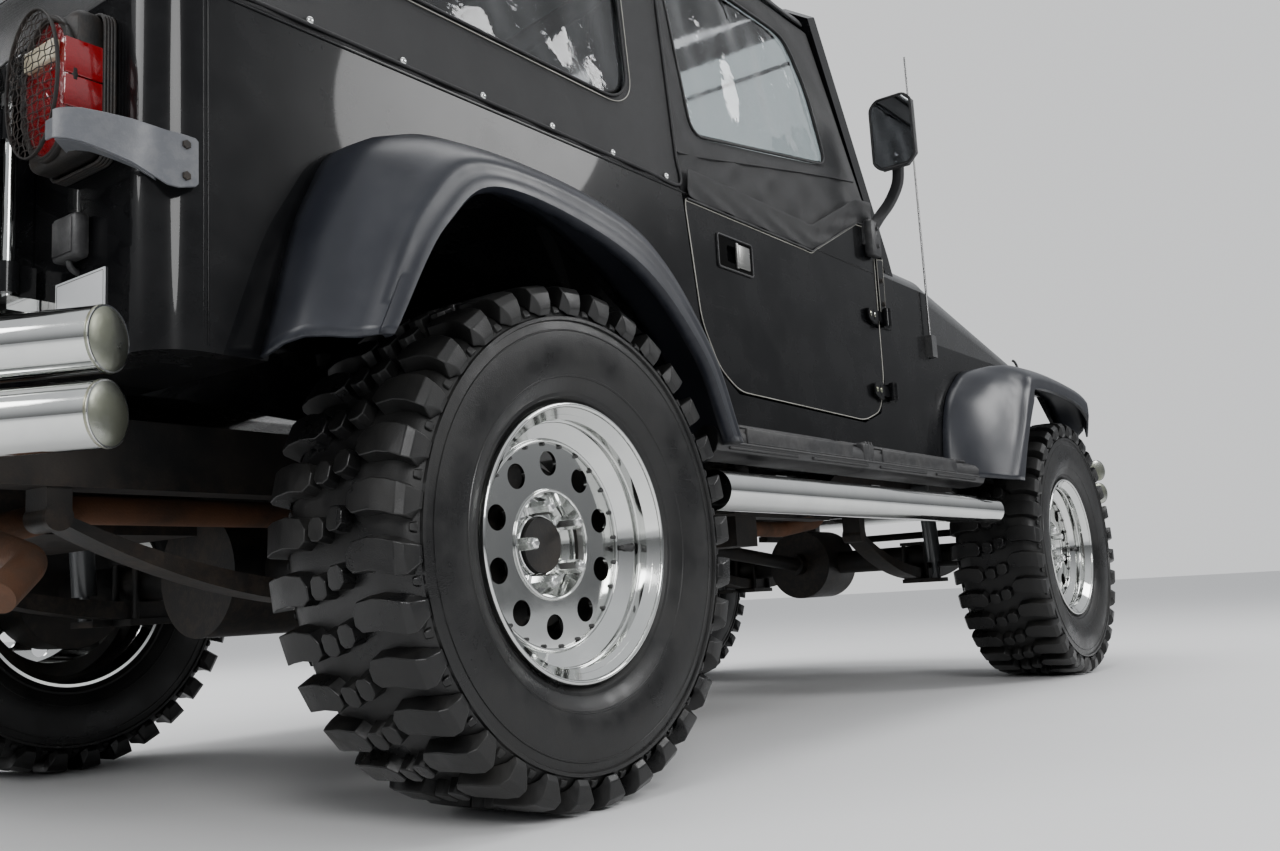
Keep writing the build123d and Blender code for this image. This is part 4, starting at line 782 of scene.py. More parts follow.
def mud_tyre(place):
    """A turned carcass, and round it two rows of shoulder blocks, middle blocks and small side tabs."""
    half = np.array(TYRE_PROFILE)
    carcass = turned(np.concatenate([half, half[-2::-1] * [1, -1]]), 128)
    step = 2 * np.pi / LUGS
    angles = np.arange(LUGS) * step
    blocks = []
    for stations, near, far in ((SHOULDER_LUG, 0.0, 0.5), (MIDDLE_LUG, 0.3, 0.45), (SIDE_TAB, 0.52, 1.02)):
        lug = lug_shape(stations)
        blocks += [turned_copies(lug, angles + near * step),
                   turned_copies(mirrored(lug, 2), angles + far * step)]
    _, _, body, spin = WHEELS[place]
    mesh_piece(f"{place}_mud_carcass", on_wheel(carcass, place, spin), TYRE_RUBBER, 30, body=body,
               replaces=[f"{place}_tyre"])
    mesh_piece(f"{place}_mud_blocks", on_wheel(joined(blocks), place, spin), TYRE_RUBBER, 22, body=body,
               bevel=0.0014)


def wheel_trim(place):
    """Rolled lip, two barrel steps, hub ring, the ring of small pins, five wheel nuts and the valve."""
    body = WHEELS[place][2]
    rings = []
    for radius, height, size in ((0.2045, 0.1075, 0.0042), (0.1935, 0.0965, 0.003), (0.1845, 0.077, 0.0032),
                                 (0.157, 0.0525, 0.003), (0.0815, 0.051, 0.0028), (0.0455, 0.025, 0.0028)):
        rings.append(turned(ring_profile(size, 10) + [radius, height], 96, close=True))
    mesh_piece(f"{place}_rim_rings", on_wheel(joined(rings), place), CHROME, body=body)
    pin = turned([(0, 0.0545), (0.0022, 0.0545), (0.003, 0.0535), (0.003, 0.049), (0, 0.049)], 8)
    pins = turned_copies(shifted(pin, (PIN_CIRCLE, 0, 0)), np.arange(24) * np.pi / 12 + 0.08)
    mesh_piece(f"{place}_rim_pins", on_wheel(pins, place), TRIM_PLASTIC, body=body)
    hexagon = turned([(0, 0.072), (0.005, 0.0718), (0.008, 0.0702), (0.0096, 0.0675), (0.0106, 0.064),
                      (0.0108, 0.03), (0.0136, 0.0264), (0.0136, 0.0236), (0, 0.0236)], 6)
    nuts = turned_copies(shifted(hexagon, (STUD_CIRCLE, 0, 0)), np.arange(5) * 2 * np.pi / 5 + STUD_TURN)
    mesh_piece(f"{place}_wheel_nuts", on_wheel(nuts, place), NUT_CHROME, 25, body=body, bevel=0.0006)
    if place != "spare":
        cap = turned([(0, 0.004), (0.006, 0.004), (0.0075, 0.0025), (0.008, -0.001), (0.015, -0.0015),
                      (0.016, 0.001), (0.0215, 0.0012), (0.0225, -0.0012), (0.03, -0.0016),
                      (0.0312, 0.006), (0.034, 0.0095), (0.039, 0.008), (0.04, -0.03), (0, -0.03)], 48)
        mesh_piece(f"{place}_hub_centre", on_wheel(shifted(cap, (0, 0, 0.016)), place), TRIM_PLASTIC,
                   body=body)
    valve = turned([(0, 0.022), (0.004, 0.021), (0.0045, 0.01), (0.006, 0.008), (0.0062, 0.0),
                    (0.0075, -0.003), (0, -0.003)], 10)
    valve = set_at(valve, (0.174, 0, 0.066), (-1, 0, 0))
    mesh_piece(f"{place}_valve", on_wheel(valve, place, -1.6), TRIM_PLASTIC, body=body)


for place in WHEELS:
    mud_tyre(place)
    wheel_trim(place)


# Flares and side steps

# Corners of an arch round its wheel's middle (x, z): root, ridge and lip
REAR_ARCH = [
    ((-0.475, 0.232), (-0.44, 0.24), (-0.397, 0.247)),
    ((-0.405, 0.455), (-0.345, 0.44), (-0.3, 0.41)),
    ((-0.3, 0.548), (-0.215, 0.535), (-0.18, 0.488)),
    ((0.07, 0.535), (0.14, 0.51), (0.11, 0.447)),
    ((0.34, 0.392), (0.335, 0.35), (0.29, 0.322)),
    ((0.455, 0.175), (0.43, 0.174), (0.377, 0.173)),
]
FRONT_ARCH = [
    ((-0.7, 0.18), (-0.56, 0.178), (-0.496, 0.177)),
    ((-0.67, 0.346), (-0.45, 0.33), (-0.432, 0.29)),
    ((-0.59, 0.45), (-0.375, 0.45), (-0.345, 0.41)),
    ((-0.4, 0.515), (-0.29, 0.505), (-0.28, 0.462)),
    ((0.2, 0.51), (0.15, 0.49), (0.11, 0.452)),
    ((0.42, 0.36), (0.33, 0.4), (0.3, 0.365)),
]


def arch_line(rows, column, axle_x):
    """One line of an arch table as an even path: smooth through its corners, cut into equal lengths."""
    line = smooth_path([row[column] for row in rows], 14)
    length = np.concatenate([[0], np.cumsum(np.linalg.norm(np.diff(line, axis=0), axis=1))])
    even = np.linspace(0, length[-1], 81)
    return np.column_stack([np.interp(even, length, line[:, 0]) + axle_x,
                            np.interp(even, length, line[:, 1]) + AXLE_Z])


# Lines along a flare: share from root to ridge, share from ridge to lip, and y
FLARE_SECTION = [
    (0.0, 0, 0.7155), (0.1, 0, 0.735), (0.3, 0, 0.764), (0.55, 0, 0.795), (0.8, 0, 0.821), (0.93, 0, 0.836),
    (1.0, 0.06, 0.847), (1.0, 0.22, 0.856), (1.0, 0.48, 0.862), (1.0, 0.56, 0.86), (1.0, 0.8, 0.8665),
    (1.0, 1.0, 0.867), (1.0, 1.06, 0.86), (1.0, 1.06, 0.848),
]
FLARE_BULGE = 0.02


def flare_shape(rows, axle_x, side, front):
    """Skin of a flare on its root, ridge and lip lines.

    Up to the ridge it bulges away from the wheel by a sine of the share. Near the lip it has a crease and a
    turned-in edge. A front flare is drawn in ahead of the wheel, in proportion to x.
    """
    root, ridge, lip = (arch_line(rows, column, axle_x) for column in range(3))
    skin = []
    for first, second, y in FLARE_SECTION:
        if second:
            line = ridge + (lip - ridge) * second
        else:
            base = root + (ridge - root) * first
            line = base + unit(base - [axle_x, AXLE_Z]) * (FLARE_BULGE * math.sin(math.pi * first))
        across = np.full(len(line), y)
        if front:
            across = np.minimum(across, 0.86 - 0.39 * np.clip(line[:, 0] - axle_x - 0.2, 0, None))
        skin.append(np.column_stack([line[:, 0], side * across, line[:, 1]]))
    return grid(np.array(skin))


for name, side in SIDES:
    shapes = [flare_shape(REAR_ARCH, REAR_AXLE_X, side, False),
              flare_shape(FRONT_ARCH, FRONT_AXLE_X, side, True)]
    mesh_piece(f"{name}_flare_skins", joined(shapes), FLARE_PLASTIC, 60, wall=0.006,
               replaces=["flares"] if name == "left" else [])


STEP_PROFILE = [(0.7155, 0.6105), (0.74, 0.61), (0.77, 0.608), (0.785, 0.601), (0.7915, 0.591),
                (0.792, 0.57), (0.786, 0.556), (0.774, 0.549), (0.7155, 0.548)]


def side_step(side):
    """A moulded step: its profile carried along X, narrowed at its middle joint, with treads and ribs."""
    x = np.concatenate([np.linspace(-0.6, -0.05, 20), np.linspace(-0.045, 0.045, 9),
                        np.linspace(0.05, 0.731, 20)])
    profile = np.array(STEP_PROFILE)
    middle = profile.mean(0)
    size = 1 - 0.05 * np.exp(-((x / 0.006) ** 2))
    points = middle + (profile - middle) * size[:, None, None]
    end = np.repeat([[middle]], len(profile), 1)
    points = np.concatenate([end, points, end])
    x = np.repeat(np.concatenate([x[:1], x, x[-1:]])[:, None], len(profile), 1)
    body = grid(np.stack([x, side * points[..., 0], points[..., 1]], 2), close_columns=True)
    treads = [side_block(side, (low, 0.724, 0.606), (high, 0.776, 0.6135), 0.003)
              for low, high in ((-0.56, -0.12), (-0.08, 0.26), (0.3, 0.64))]
    ribs = [side_block(side, (low, 0.776, 0.56), (low + 0.26, 0.7935, 0.566), 0.0025)
            for low in (-0.56, -0.24, 0.08, 0.4)]
    return joined([body] + treads + ribs)


for name, side in SIDES:
    mesh_piece(f"{name}_side_step", side_step(side), TRIM_PLASTIC, 35, bevel=0.0012)


# Outlines on flat places


def ray_outline(outline, centre, angles):
    """Where rays from a centre meet a closed outline: for each angle the farthest crossing with an edge."""
    start = np.asarray(outline, float) - centre
    edge = np.roll(start, -1, 0) - start
    ray = np.stack([np.cos(angles), np.sin(angles)], 1)
    cross = ray[:, None, 0] * edge[None, :, 1] - ray[:, None, 1] * edge[None, :, 0]
    cross = np.where(np.abs(cross) < 1e-12, 1e-12, cross)
    reach = (start[None, :, 0] * edge[None, :, 1] - start[None, :, 1] * edge[None, :, 0]) / cross
    share = (start[None, :, 0] * ray[:, None, 1] - start[None, :, 1] * ray[:, None, 0]) / cross
    good = (share > -1e-6) & (share < 1 + 1e-6) & (reach > 0)
    return np.asarray(centre) + ray * np.where(good, reach, 0).max(1)[:, None]


def outline_angles(outlines, centre):
    """Even angles with those of every corner added, so that corners stay sharp."""
    corners = [np.arctan2(*(np.asarray(outline, float) - centre).T[::-1]) for outline in outlines]
    even = np.linspace(-np.pi, np.pi, 120, endpoint=False)
    return np.unique(np.round(np.concatenate([even] + corners), 5))


def rounded_outline(outline, cut=0.02, steps=4):
    """An outline whose corners are replaced by short curves, from cut before each corner to cut after it."""
    corner = np.asarray(outline, float)
    before, after = np.roll(corner, 1, 0), np.roll(corner, -1, 0)
    reach_in = np.minimum(cut, 0.45 * np.linalg.norm(before - corner, axis=1))[:, None]
    reach_out = np.minimum(cut, 0.45 * np.linalg.norm(after - corner, axis=1))[:, None]
    first, last = corner + unit(before - corner) * reach_in, corner + unit(after - corner) * reach_out
    t = np.linspace(0, 1, steps + 1)[None, :, None]
    curve = (1 - t) ** 2 * first[:, None] + 2 * t * (1 - t) * corner[:, None] + t**2 * last[:, None]
    return curve.reshape(-1, 2)


def ring_panel(outer, inner, rows=10):
    """Flat points (rows, columns, 2) on straight lines from an outer outline to an inner one."""
    centre = np.mean(inner, 0)
    angles = outline_angles([outer, inner], centre)
    first, last = ray_outline(outer, centre, angles), ray_outline(inner, centre, angles)
    t = np.linspace(0, 1, rows)[:, None, None]
    return first + (last - first) * t


def disc_panel(outline, rows=12):
    """Flat points from an outline in to its middle."""
    outline = np.asarray(outline, float)
    centre = outline.mean(0)
    edge = ray_outline(outline, centre, outline_angles([outline], centre))
    t = np.linspace(1, 0, rows)[:, None, None]
    return centre + (edge - centre) * t


def plate(outline, low, high, place):
    """A flat plate: an outline at two levels, closed to its middle. place gives X, Y, Z of its points."""
    outline = np.asarray(outline, float)
    centre = outline.mean(0)
    point = np.repeat([centre], len(outline), 0)
    rings = [(point, low), (outline, low), (outline, high), (point, high)]
    flat = np.array([np.column_stack([ring, np.full(len(ring), level)]) for ring, level in rings])
    return grid(place(flat), close_columns=True)


def on_side(side):
    """Places (x, z, distance from the middle) on one side of the body."""
    return lambda flat: np.stack([flat[..., 0], side * flat[..., 2], flat[..., 1]], -1)


def on_cross(x, way, y=0.0, z=0.0):
    """Places (across, up, level) on a plane across the body at x, round (y, z); level counts along way."""
    return lambda flat: np.stack([x + way * flat[..., 2], y + flat[..., 0], z + flat[..., 1]], -1)


# Soft top: panels of vinyl over hoops

TOP_LOW = 1.0783
EAVE = 1.682
LOW_HALF = 0.714
EAVE_HALF = 0.668
SIDE_LEAN = (LOW_HALF - EAVE_HALF) / (EAVE - TOP_LOW)
BACK_LEAN = 0.135 / 0.772
ROOF_FRONT_X = 0.104
HOOP_STEP = 0.541
DOOR_REAR_X = -0.552
QUARTER_WINDOW = [(-1.331, 1.21), (-0.741, 1.21), (-0.696, 1.245), (-0.691, 1.56), (-0.721, 1.61),
                  (-1.271, 1.61), (-1.371, 1.3)]
REAR_WINDOW = [(-0.47, 1.2), (0.47, 1.2), (0.44, 1.6), (-0.44, 1.6)]


def back_x(z):
    """The back of the top slopes forward as it rises."""
    return TUB_REAR_X + BACK_LEAN * (z - TOP_LOW)


def side_y(z):
    """The side of the top leans in as it rises."""
    return LOW_HALF - SIDE_LEAN * (z - TOP_LOW)


def quarter_panel(side):
    """Side of the top round its window, gathered at the belt, under the eaves and at the rear corner.

    Each gather is a sine whose height falls off with a bell curve or an exponential of the distance.
    """
    outer = [(TUB_REAR_X, TOP_LOW), (DOOR_REAR_X, TOP_LOW), (DOOR_REAR_X, 1.64), (DOOR_REAR_X - 0.03, EAVE),
             (back_x(EAVE), EAVE)]
    flat = ring_panel(outer, rounded_outline(QUARTER_WINDOW, 0.035), 14)
    x, z = flat[..., 0], flat[..., 1]
    gather = 0.0022 * np.sin(52 * x + 9 * z) * np.exp(-((z - TOP_LOW) / 0.07))
    pull = 0.003 * np.sin(30 * x - 24 * z) * np.exp(-(((z - 1.64) / 0.1) ** 2))
    diagonal = 0.0026 * np.sin(46 * (x + 0.8 * z)) * np.exp(-(((x + 1.5) / 0.12) ** 2))
    y = side * (side_y(z) - 0.003 + gather + pull + diagonal)
    return grid(np.stack([x, y, z], -1), close_columns=True)


def rear_panel():
    """Back of the top round its window, in the sloping plane, with soft waves below the window."""
    arc = [(0.668, EAVE), (0.664, 1.706), (0.648, 1.738), (0.62, 1.76), (0.588, 1.772), (0.45, 1.805),
           (0.3, 1.8295), (0.15, 1.845), (0.0, 1.85)]
    outer = [(-0.714, TOP_LOW), (0.714, TOP_LOW)] + arc + [(-y, z) for y, z in arc[-2::-1]]
    flat = ring_panel(outer, rounded_outline(REAR_WINDOW, 0.05), 14)
    y, z = flat[..., 0], flat[..., 1]
    wave = (0.0035 * np.sin(21 * y + 3) * np.exp(-((z - TOP_LOW) / 0.09))
            + 0.002 * np.sin(30 * (z + 0.4 * y)))
    return grid(np.stack([back_x(z) + 0.004 - wave, y, z], -1), close_columns=True)


def roof_panel():
    """Roof: across it the section's eaves, rounded shoulders and crown; along it a sag between hoops.

    It falls towards the rear in proportion to x, most at the crown, and is creased near the eaves.
    """
    # Half of the section: y, z and the share of the fall
    half = np.array([(EAVE_HALF, EAVE, 0.0), (0.6665, 1.694, 0.1), (0.662, 1.712, 0.25),
                     (0.648, 1.738, 0.4), (0.622, 1.759, 0.5), (0.588, 1.772, 0.5), (0.5, 1.796, 0.6),
                     (0.4, 1.816, 0.75), (0.3, 1.8315, 0.85), (0.2, 1.8425, 0.93), (0.1, 1.8485, 0.98),
                     (0.0, 1.85, 1.0)])
    y, level, share = np.concatenate([half, half[-2::-1] * [-1, 1, 1]]).T[:, None]
    start = back_x(level)
    x = start + (ROOF_FRONT_X - start) * np.linspace(0, 1, 64)[:, None]
    fall = 0.062 * (x - TUB_REAR_X) / (ROOF_FRONT_X - TUB_REAR_X)
    hoops = 0.5 - 0.5 * np.cos(2 * np.pi * np.clip((x + 1.52) / HOOP_STEP, 0, 3))
    inner = np.clip((level - 1.73) / 0.1, 0, 1)
    crease = 0.002 * np.sin(38 * x + 14 * y) * (1 - inner) * np.clip((level - EAVE) / 0.03, 0, 1)
    z = level - fall * share - 0.007 * hoops * inner
    return grid(np.stack([x, y * (1 - 0.004 * hoops), z - 0.002 + crease], -1))


for name, side in SIDES:
    shape = quarter_panel(side)
    piece = mesh_piece(f"{name}_quarter_cloth", shape, TOP_FABRIC, 60, wall=0.003, subdivide=1,
                       replaces=["soft_top"] if name == "left" else [])
shape = rear_panel()
mesh_piece("rear_cloth", shape, TOP_FABRIC, 60, wall=0.003, subdivide=1)
shape = roof_panel()
mesh_piece("roof_cloth", shape, TOP_FABRIC, 60, wall=0.003)


def film(outline, place, wave):
    """Clear vinyl in an outline: level, with waves that run slantwise and fade at its sewn edge."""
    flat = disc_panel(rounded_outline(outline, 0.035), 22)
    a, b = flat[..., 0], flat[..., 1]
    fade = np.clip(np.linspace(0, 1, 22)[:, None] * 4, 0, 1)
    level = wave * fade * (np.sin(19 * a + 13 * b) + 0.6 * np.sin(33 * a - 21 * b + 1.0)
                           + 0.35 * np.sin(61 * a + 8 * b))
    return grid(place(np.stack([a, b, level], -1)), close_columns=True)


def on_back(flat):
    """Places (y, z, level) on the sloping back of the top, 6 mm inside its face."""
    return np.stack([back_x(flat[..., 1]) + 0.006 - flat[..., 2], flat[..., 0], flat[..., 1]], -1)


def on_slope(side, inset):
    """Places (x, z, level) on the sloping side of the top, inset below its face."""
    return lambda flat: np.stack([flat[..., 0], side * (side_y(flat[..., 1]) - inset + flat[..., 2]),
                                  flat[..., 1]], -1)


for name, side in SIDES:
    shape = film(QUARTER_WINDOW, on_slope(side, 0.006), 0.0028)
    piece = mesh_piece(f"{name}_quarter_film", shape, CLEAR_FILM, 70, wall=0.001,
                       replaces=["top_windows"] if name == "left" else [])
shape = film(REAR_WINDOW, on_back, 0.0028)
mesh_piece("rear_film", shape, CLEAR_FILM, 70, wall=0.001)


def slope_line(points, side, out=0.0):
    """Points (x, z) on the sloping side, stood out by out."""
    points = np.asarray(points, float)
    return np.column_stack([points[:, 0], side * (side_y(points[:, 1]) + out), points[:, 1]])


def seam(points, radius, closed=False, steps=5):
    """Piping along points: a round cord on a smooth path, or with steps of 1 straight from point to point."""
    return wire(points, radius, closed, 8, steps)


def dense(points, steps=10):
    """Points between corners, at even shares of each run, so that a smooth path keeps to the runs."""
    points = np.asarray(points, float)
    t = np.linspace(0, 1, steps, endpoint=False)[None, :, None]
    runs = points[:-1, None] + (points[1:] - points[:-1])[:, None] * t
    return np.concatenate([runs.reshape(-1, points.shape[1]), points[-1:]])


def closed_line(outline, cut):
    """A rounded outline with points between its corners, for a closed seam from point to point."""
    line = rounded_outline(outline, cut, 8)
    return dense(np.vstack([line, line[:1]]), 3)[:-1]


for name, side in SIDES:
    quarter_edge = slope_line(closed_line(QUARTER_WINDOW, 0.035), side, 0.0005)
    quarter_outer = slope_line(dense([(DOOR_REAR_X - 0.004, 1.66), (DOOR_REAR_X - 0.004, 1.088),
                                      (-1.645, 1.088)]), side, 0.0)
    welt = slope_line(dense([(back_x(1.1), 1.1), (back_x(EAVE), EAVE)]), side, -0.001)
    eave = np.column_stack([np.linspace(-1.545, 0.1, 40), np.full(40, side * 0.6675), np.full(40, EAVE)])
    mesh_piece(f"{name}_top_piping",
               joined([seam(quarter_edge, 0.0028, True, 1), seam(quarter_outer, 0.0036),
                       seam(welt, 0.0034), seam(eave, 0.003)]), TOP_FABRIC, 60)
    middle = np.mean(QUARTER_WINDOW, 0)
    inner_line = slope_line(closed_line(middle + (np.array(QUARTER_WINDOW) - middle) * 1.045, 0.035),
                            side, 0.0008)
    mesh_piece(f"{name}_quarter_stitches", seam(inner_line, 0.0009, True, 1), PALE_HIGHLIGHT_AND_THREAD, 60)
    snaps = [(x, 1.094) for x in np.linspace(-1.6, -0.6, 7)]
    dome = turned([(0, 0.0046), (0.0035, 0.0042), (0.0058, 0.0026), (0.0064, 0.0), (0, 0.0)], 14)
    turns = [basis((0, side, 0))] * len(snaps)
    spots = [(x, side * (side_y(z) + 0.0005), z) for x, z in snaps]
    mesh_piece(f"{name}_top_snaps", repeated(dome, turns, spots), CHROME, 60)


# Doors: uppers, films, flaps, painted highlight lines on the edges, hinges, handles, mirrors

UPPER_LOW = [(-0.546, 1.0744), (-0.031, 1.0744), (0.221, 1.2004), (0.309, 1.2124)]
UPPER_OUTLINE = UPPER_LOW + [(0.3417, 1.216), (0.136, 1.676), (-0.561, 1.676), (-0.591, 1.652)]
UPPER_WINDOW = [(-0.481, 1.215), (0.129, 1.32), (0.079, 1.5), (0.009, 1.6), (-0.041, 1.615),
                (-0.511, 1.615), (-0.529, 1.56)]
DOOR_OUTLINE = [(-0.546, 1.072), (-0.509, 0.824), (-0.456, 0.738), (-0.386, 0.698), (0.179, 0.69),
                (0.269, 0.72), (0.303, 0.8), (0.309, 1.21)]


def fabric_frame(outer, inner, side):
    """A stuffed frame between two outlines: its faces swell as a sine, with slanting folds low down."""
    flat = ring_panel(outer, inner, 11)
    t = np.linspace(0, 1, 11)[:, None]
    swell = 0.0045 * np.sin(np.pi * t) ** 0.6
    x, z = flat[..., 0], flat[..., 1]
    low_part = np.clip((1.28 - z) / 0.1, 0, 1) * np.clip((z - 1.12) / 0.03, 0, 1)
    folds = 0.0016 * np.sin(34 * x + 47 * z) * np.sin(np.pi * t)
    folds = folds + 0.0042 * low_part * np.sin(46 * x - 38 * z) * np.sin(np.pi * t)
    face = side_y(z) - 0.0045 + swell + folds
    back = side_y(z) - 0.019 + 0.003 - swell * 0.4
    front_side = np.stack([x, side * face, z], -1)
    back_side = np.stack([x, side * back, z], -1)[::-1]
    return grid(np.concatenate([front_side, back_side]), close_rows=True, close_columns=True)


def flap(side):
    """Loose flap over the door's top edge: its folds are sines of x and z, strongest at its lower edge."""
    low = dense([(-0.54, 1.066), (-0.031, 1.066), (0.218, 1.1905), (0.3, 1.199)], 24)
    lift = np.linspace(0, 1, 9)[:, None]
    x = low[None, :, 0] + 0.006 * lift
    z = low[None, :, 1] + 0.062 * lift
    fold = (0.0024 * (1 - lift) * np.sin(44 * low[None, :, 0] + 9 * lift)
            + 0.0016 * np.sin(90 * low[None, :, 0] - 30 * z))
    y = np.maximum(side_y(z), 0.7152) + 0.0032 + fold * (0.4 + 0.6 * (1 - lift)) + 0.0015 * (1 - lift)
    return grid(np.stack([x, side * y, z], -1))


for name, side in SIDES:
    body = f"{name}_door_body"
    frame_shape = fabric_frame(UPPER_OUTLINE, rounded_outline(UPPER_WINDOW, 0.045), side)
    piece = mesh_piece(f"{name}_upper_frame", frame_shape, TOP_FABRIC, 60, body=body, subdivide=1,
                       replaces=[f"{name}_door_upper"])
    shape = flap(side)
    mesh_piece(f"{name}_upper_flap", shape, TOP_FABRIC, 60, body=body, wall=0.0022,
                             subdivide=1)
    shape = film(UPPER_WINDOW, on_slope(side, 0.01), 0.0034)
    mesh_piece(f"{name}_upper_film", shape, CLEAR_FILM, 70, body=body, wall=0.001,
                             replaces=[f"{name}_door_window"])
    window_edge = slope_line(closed_line(UPPER_WINDOW, 0.045), side, -0.0015)
    low_edge = [(x, side * 0.7188, z)
                for x, z in dense([(-0.54, 1.064), (-0.031, 1.064), (0.218, 1.188), (0.3, 1.197)], 12)]
    mesh_piece(f"{name}_upper_piping",
               joined([seam(window_edge, 0.0024, True, 1), seam(low_edge, 0.0022)]), TRIM_PLASTIC, 60,
               body=body)
    # Thin pale lines along the door's edge and top hem: painted highlight where light catches the paint's
    # edges
    outline = dense(rounded_outline(DOOR_OUTLINE, 0.03, 5), 4)
    line = np.array([(x, side * 0.7152, z) for x, z in outline if z < 1.064 or (x > 0 and z < 1.185)])
    top_line = [(x, side * 0.7156, z)
                for x, z in dense([(-0.54, 1.06), (-0.031, 1.06), (0.216, 1.1835), (0.296, 1.19)], 12)]
    mesh_piece(f"{name}_door_painted_highlight_line", joined([seam(line, 0.0012, steps=1), seam(top_line, 0.0011)]),
               PALE_HIGHLIGHT_AND_THREAD, 60, body=body)
    welt = slope_line(dense([(-0.549, 1.158), (-0.478, 1.168), (-0.054, 1.253), (0.141, 1.29),
                             (0.262, 1.311)], 8), side, 0.0012)
    mesh_piece(f"{name}_upper_welt", seam(welt, 0.002), TOP_FABRIC, 60, body=body)


# Small hardware


def bolt(radius, height):
    """A hexagon head on a round washer that is 1.35 times as wide."""
    washer = radius * 1.35
    head = turned([(0, height), (radius * 0.86, height), (radius, height * 0.86), (radius, 0.0012),
                   (0, 0.0012)], 6)
    disc = turned([(0, 0.0016), (washer - 0.0004, 0.0016), (washer, 0.0011), (washer, -0.0008),
                   (0, -0.0008)], 24)
    return joined([head, disc])


def ribbon(stations, thick):
    """A strip on edge through stations (x, y, low, high); its back lies thick to the left of its way."""
    stations = np.asarray(stations, float)
    way = unit(np.gradient(stations[:, :2], axis=0))
    left = np.stack([-way[:, 1], way[:, 0]], 1) * thick
    near, far = stations[:, :2], stations[:, :2] + left
    low, high = stations[:, 2:3], stations[:, 3:4]
    edge = thick * 0.25
    rows = [np.hstack([near, low + edge]), np.hstack([near, high - edge]),
            np.hstack([near + left * 0.25, high]), np.hstack([far - left * 0.25, high]),
            np.hstack([far, high - edge]), np.hstack([far, low + edge]),
            np.hstack([far - left * 0.25, low]), np.hstack([near + left * 0.25, low])]
    return grid(capped(np.stack(rows, 1)), close_columns=True)


def to_side(shape, side):
    """A shape made for the right side, or its mirror image for the left."""
    return shape if side < 0 else mirrored(shape, 1)


# Tail lamps: housing, ribbed oval lens, pale strip, woven guard, side lens, gasket and strap

LAMP_Y = -0.56
LAMP_Z = 0.954
LAMP_HALF = (0.062, 0.094)
LENS_X = -1.713
GUARD_X = -1.7285
LEVEL_PITCH = 0.0105
UPRIGHT_PITCH = 0.0125


def oval(share, x, count=72):
    """Points of the lamp's oval at a share of its size."""
    angle = np.linspace(0, 2 * np.pi, count, endpoint=False)
    return np.column_stack([np.full(count, x), LAMP_Y + share * LAMP_HALF[0] * np.cos(angle),
                            LAMP_Z + share * LAMP_HALF[1] * np.sin(angle)])


def lens_shape():
    """A shallow dome over the oval, with small bumps: the product of a sine across and a sine up."""
    share = np.sin(np.linspace(0, np.pi / 2, 26))
    rings = np.array([oval(part * 0.96, 0.0, 96) for part in share])
    share = share[:, None]
    y, z = rings[..., 1] - LAMP_Y, rings[..., 2] - LAMP_Z
    rise = 0.012 * np.sqrt(np.maximum(0, 1 - (share * 0.98) ** 2))
    ribs = 0.0006 * np.sin(y * 2 * np.pi / 0.0065) * np.sin(z * 2 * np.pi / 0.009) * (share < 0.97)
    rings[..., 0] = LENS_X + 0.01 - rise - ribs
    return grid(rings, close_columns=True)


def guard_x(y, z):
    """The guard bows outwards: 6 mm less of X in its middle than at its rim."""
    return GUARD_X - 0.006 * (1 - (y / LAMP_HALF[0]) ** 2 - (z / LAMP_HALF[1]) ** 2)


def guard_reach(place, half, other_half):
    """How far a wire at a place across the oval runs each way."""
    return other_half * math.sqrt(max(0.0, 1 - (place / half) ** 2)) * 0.99


def guard_shape():
    """Wires that pass over and under each other by turns, cut to the oval, on two rims with four pins."""
    thread = ring_profile(0.0007, 5)
    wires = []
    for row, z in enumerate(np.arange(-8, 9) * LEVEL_PITCH):
        reach = guard_reach(z, LAMP_HALF[1], LAMP_HALF[0])
        if reach > 0.008:
            y = np.linspace(-reach, reach, 28)
            lift = 0.0011 * np.cos(np.pi * y / UPRIGHT_PITCH + np.pi * row)
            sag = 0.0012 * np.sin(60 * y + 3 * row)
            wires.append(carried(np.column_stack([guard_x(y, z) + lift, LAMP_Y + y, LAMP_Z + z + sag]),
                                 thread))
    for row, y in enumerate(np.arange(-4, 5) * UPRIGHT_PITCH):
        reach = guard_reach(y, *LAMP_HALF)
        if reach > 0.008:
            z = np.linspace(-reach, reach, 36)
            lift = -0.0011 * np.cos(np.pi * z / LEVEL_PITCH + np.pi * row)
            sag = 0.0012 * np.sin(52 * z + 2 * row)
            wires.append(carried(np.column_stack([guard_x(y, z) + lift, LAMP_Y + y + sag, LAMP_Z + z]),
                                 thread, (0, 1, 0)))
    wires.append(carried(oval(1.0, GUARD_X), bar_profile(0.0024, 0.0048, 0.0007), (1, 0, 0), closed=True))
    wires.append(carried(oval(0.945, -1.708), bar_profile(0.0036, 0.01, 0.0012), (1, 0, 0), closed=True))
    for angle in (0.5, 2.3, 3.9, 5.6):
        y, z = LAMP_Y + LAMP_HALF[0] * math.cos(angle), LAMP_Z + LAMP_HALF[1] * math.sin(angle)
        wires.append(wire([(GUARD_X, y, z), (-1.712, y, z), (-1.706, y, z)], 0.0016, sides=8))
    return joined(wires)


def gasket_shape():
    """Four soft ribs round the foot of the housing."""
    ring = rounded_outline(rectangle(-0.623, -0.497, 0.857, 1.048), 0.02, 5)
    return joined([carried(at_x(ring, -1.6585 - 0.0042 * k), ring_profile(0.0026, 8), (1, 0, 0),
                           closed=True)
                   for k in range(4)])


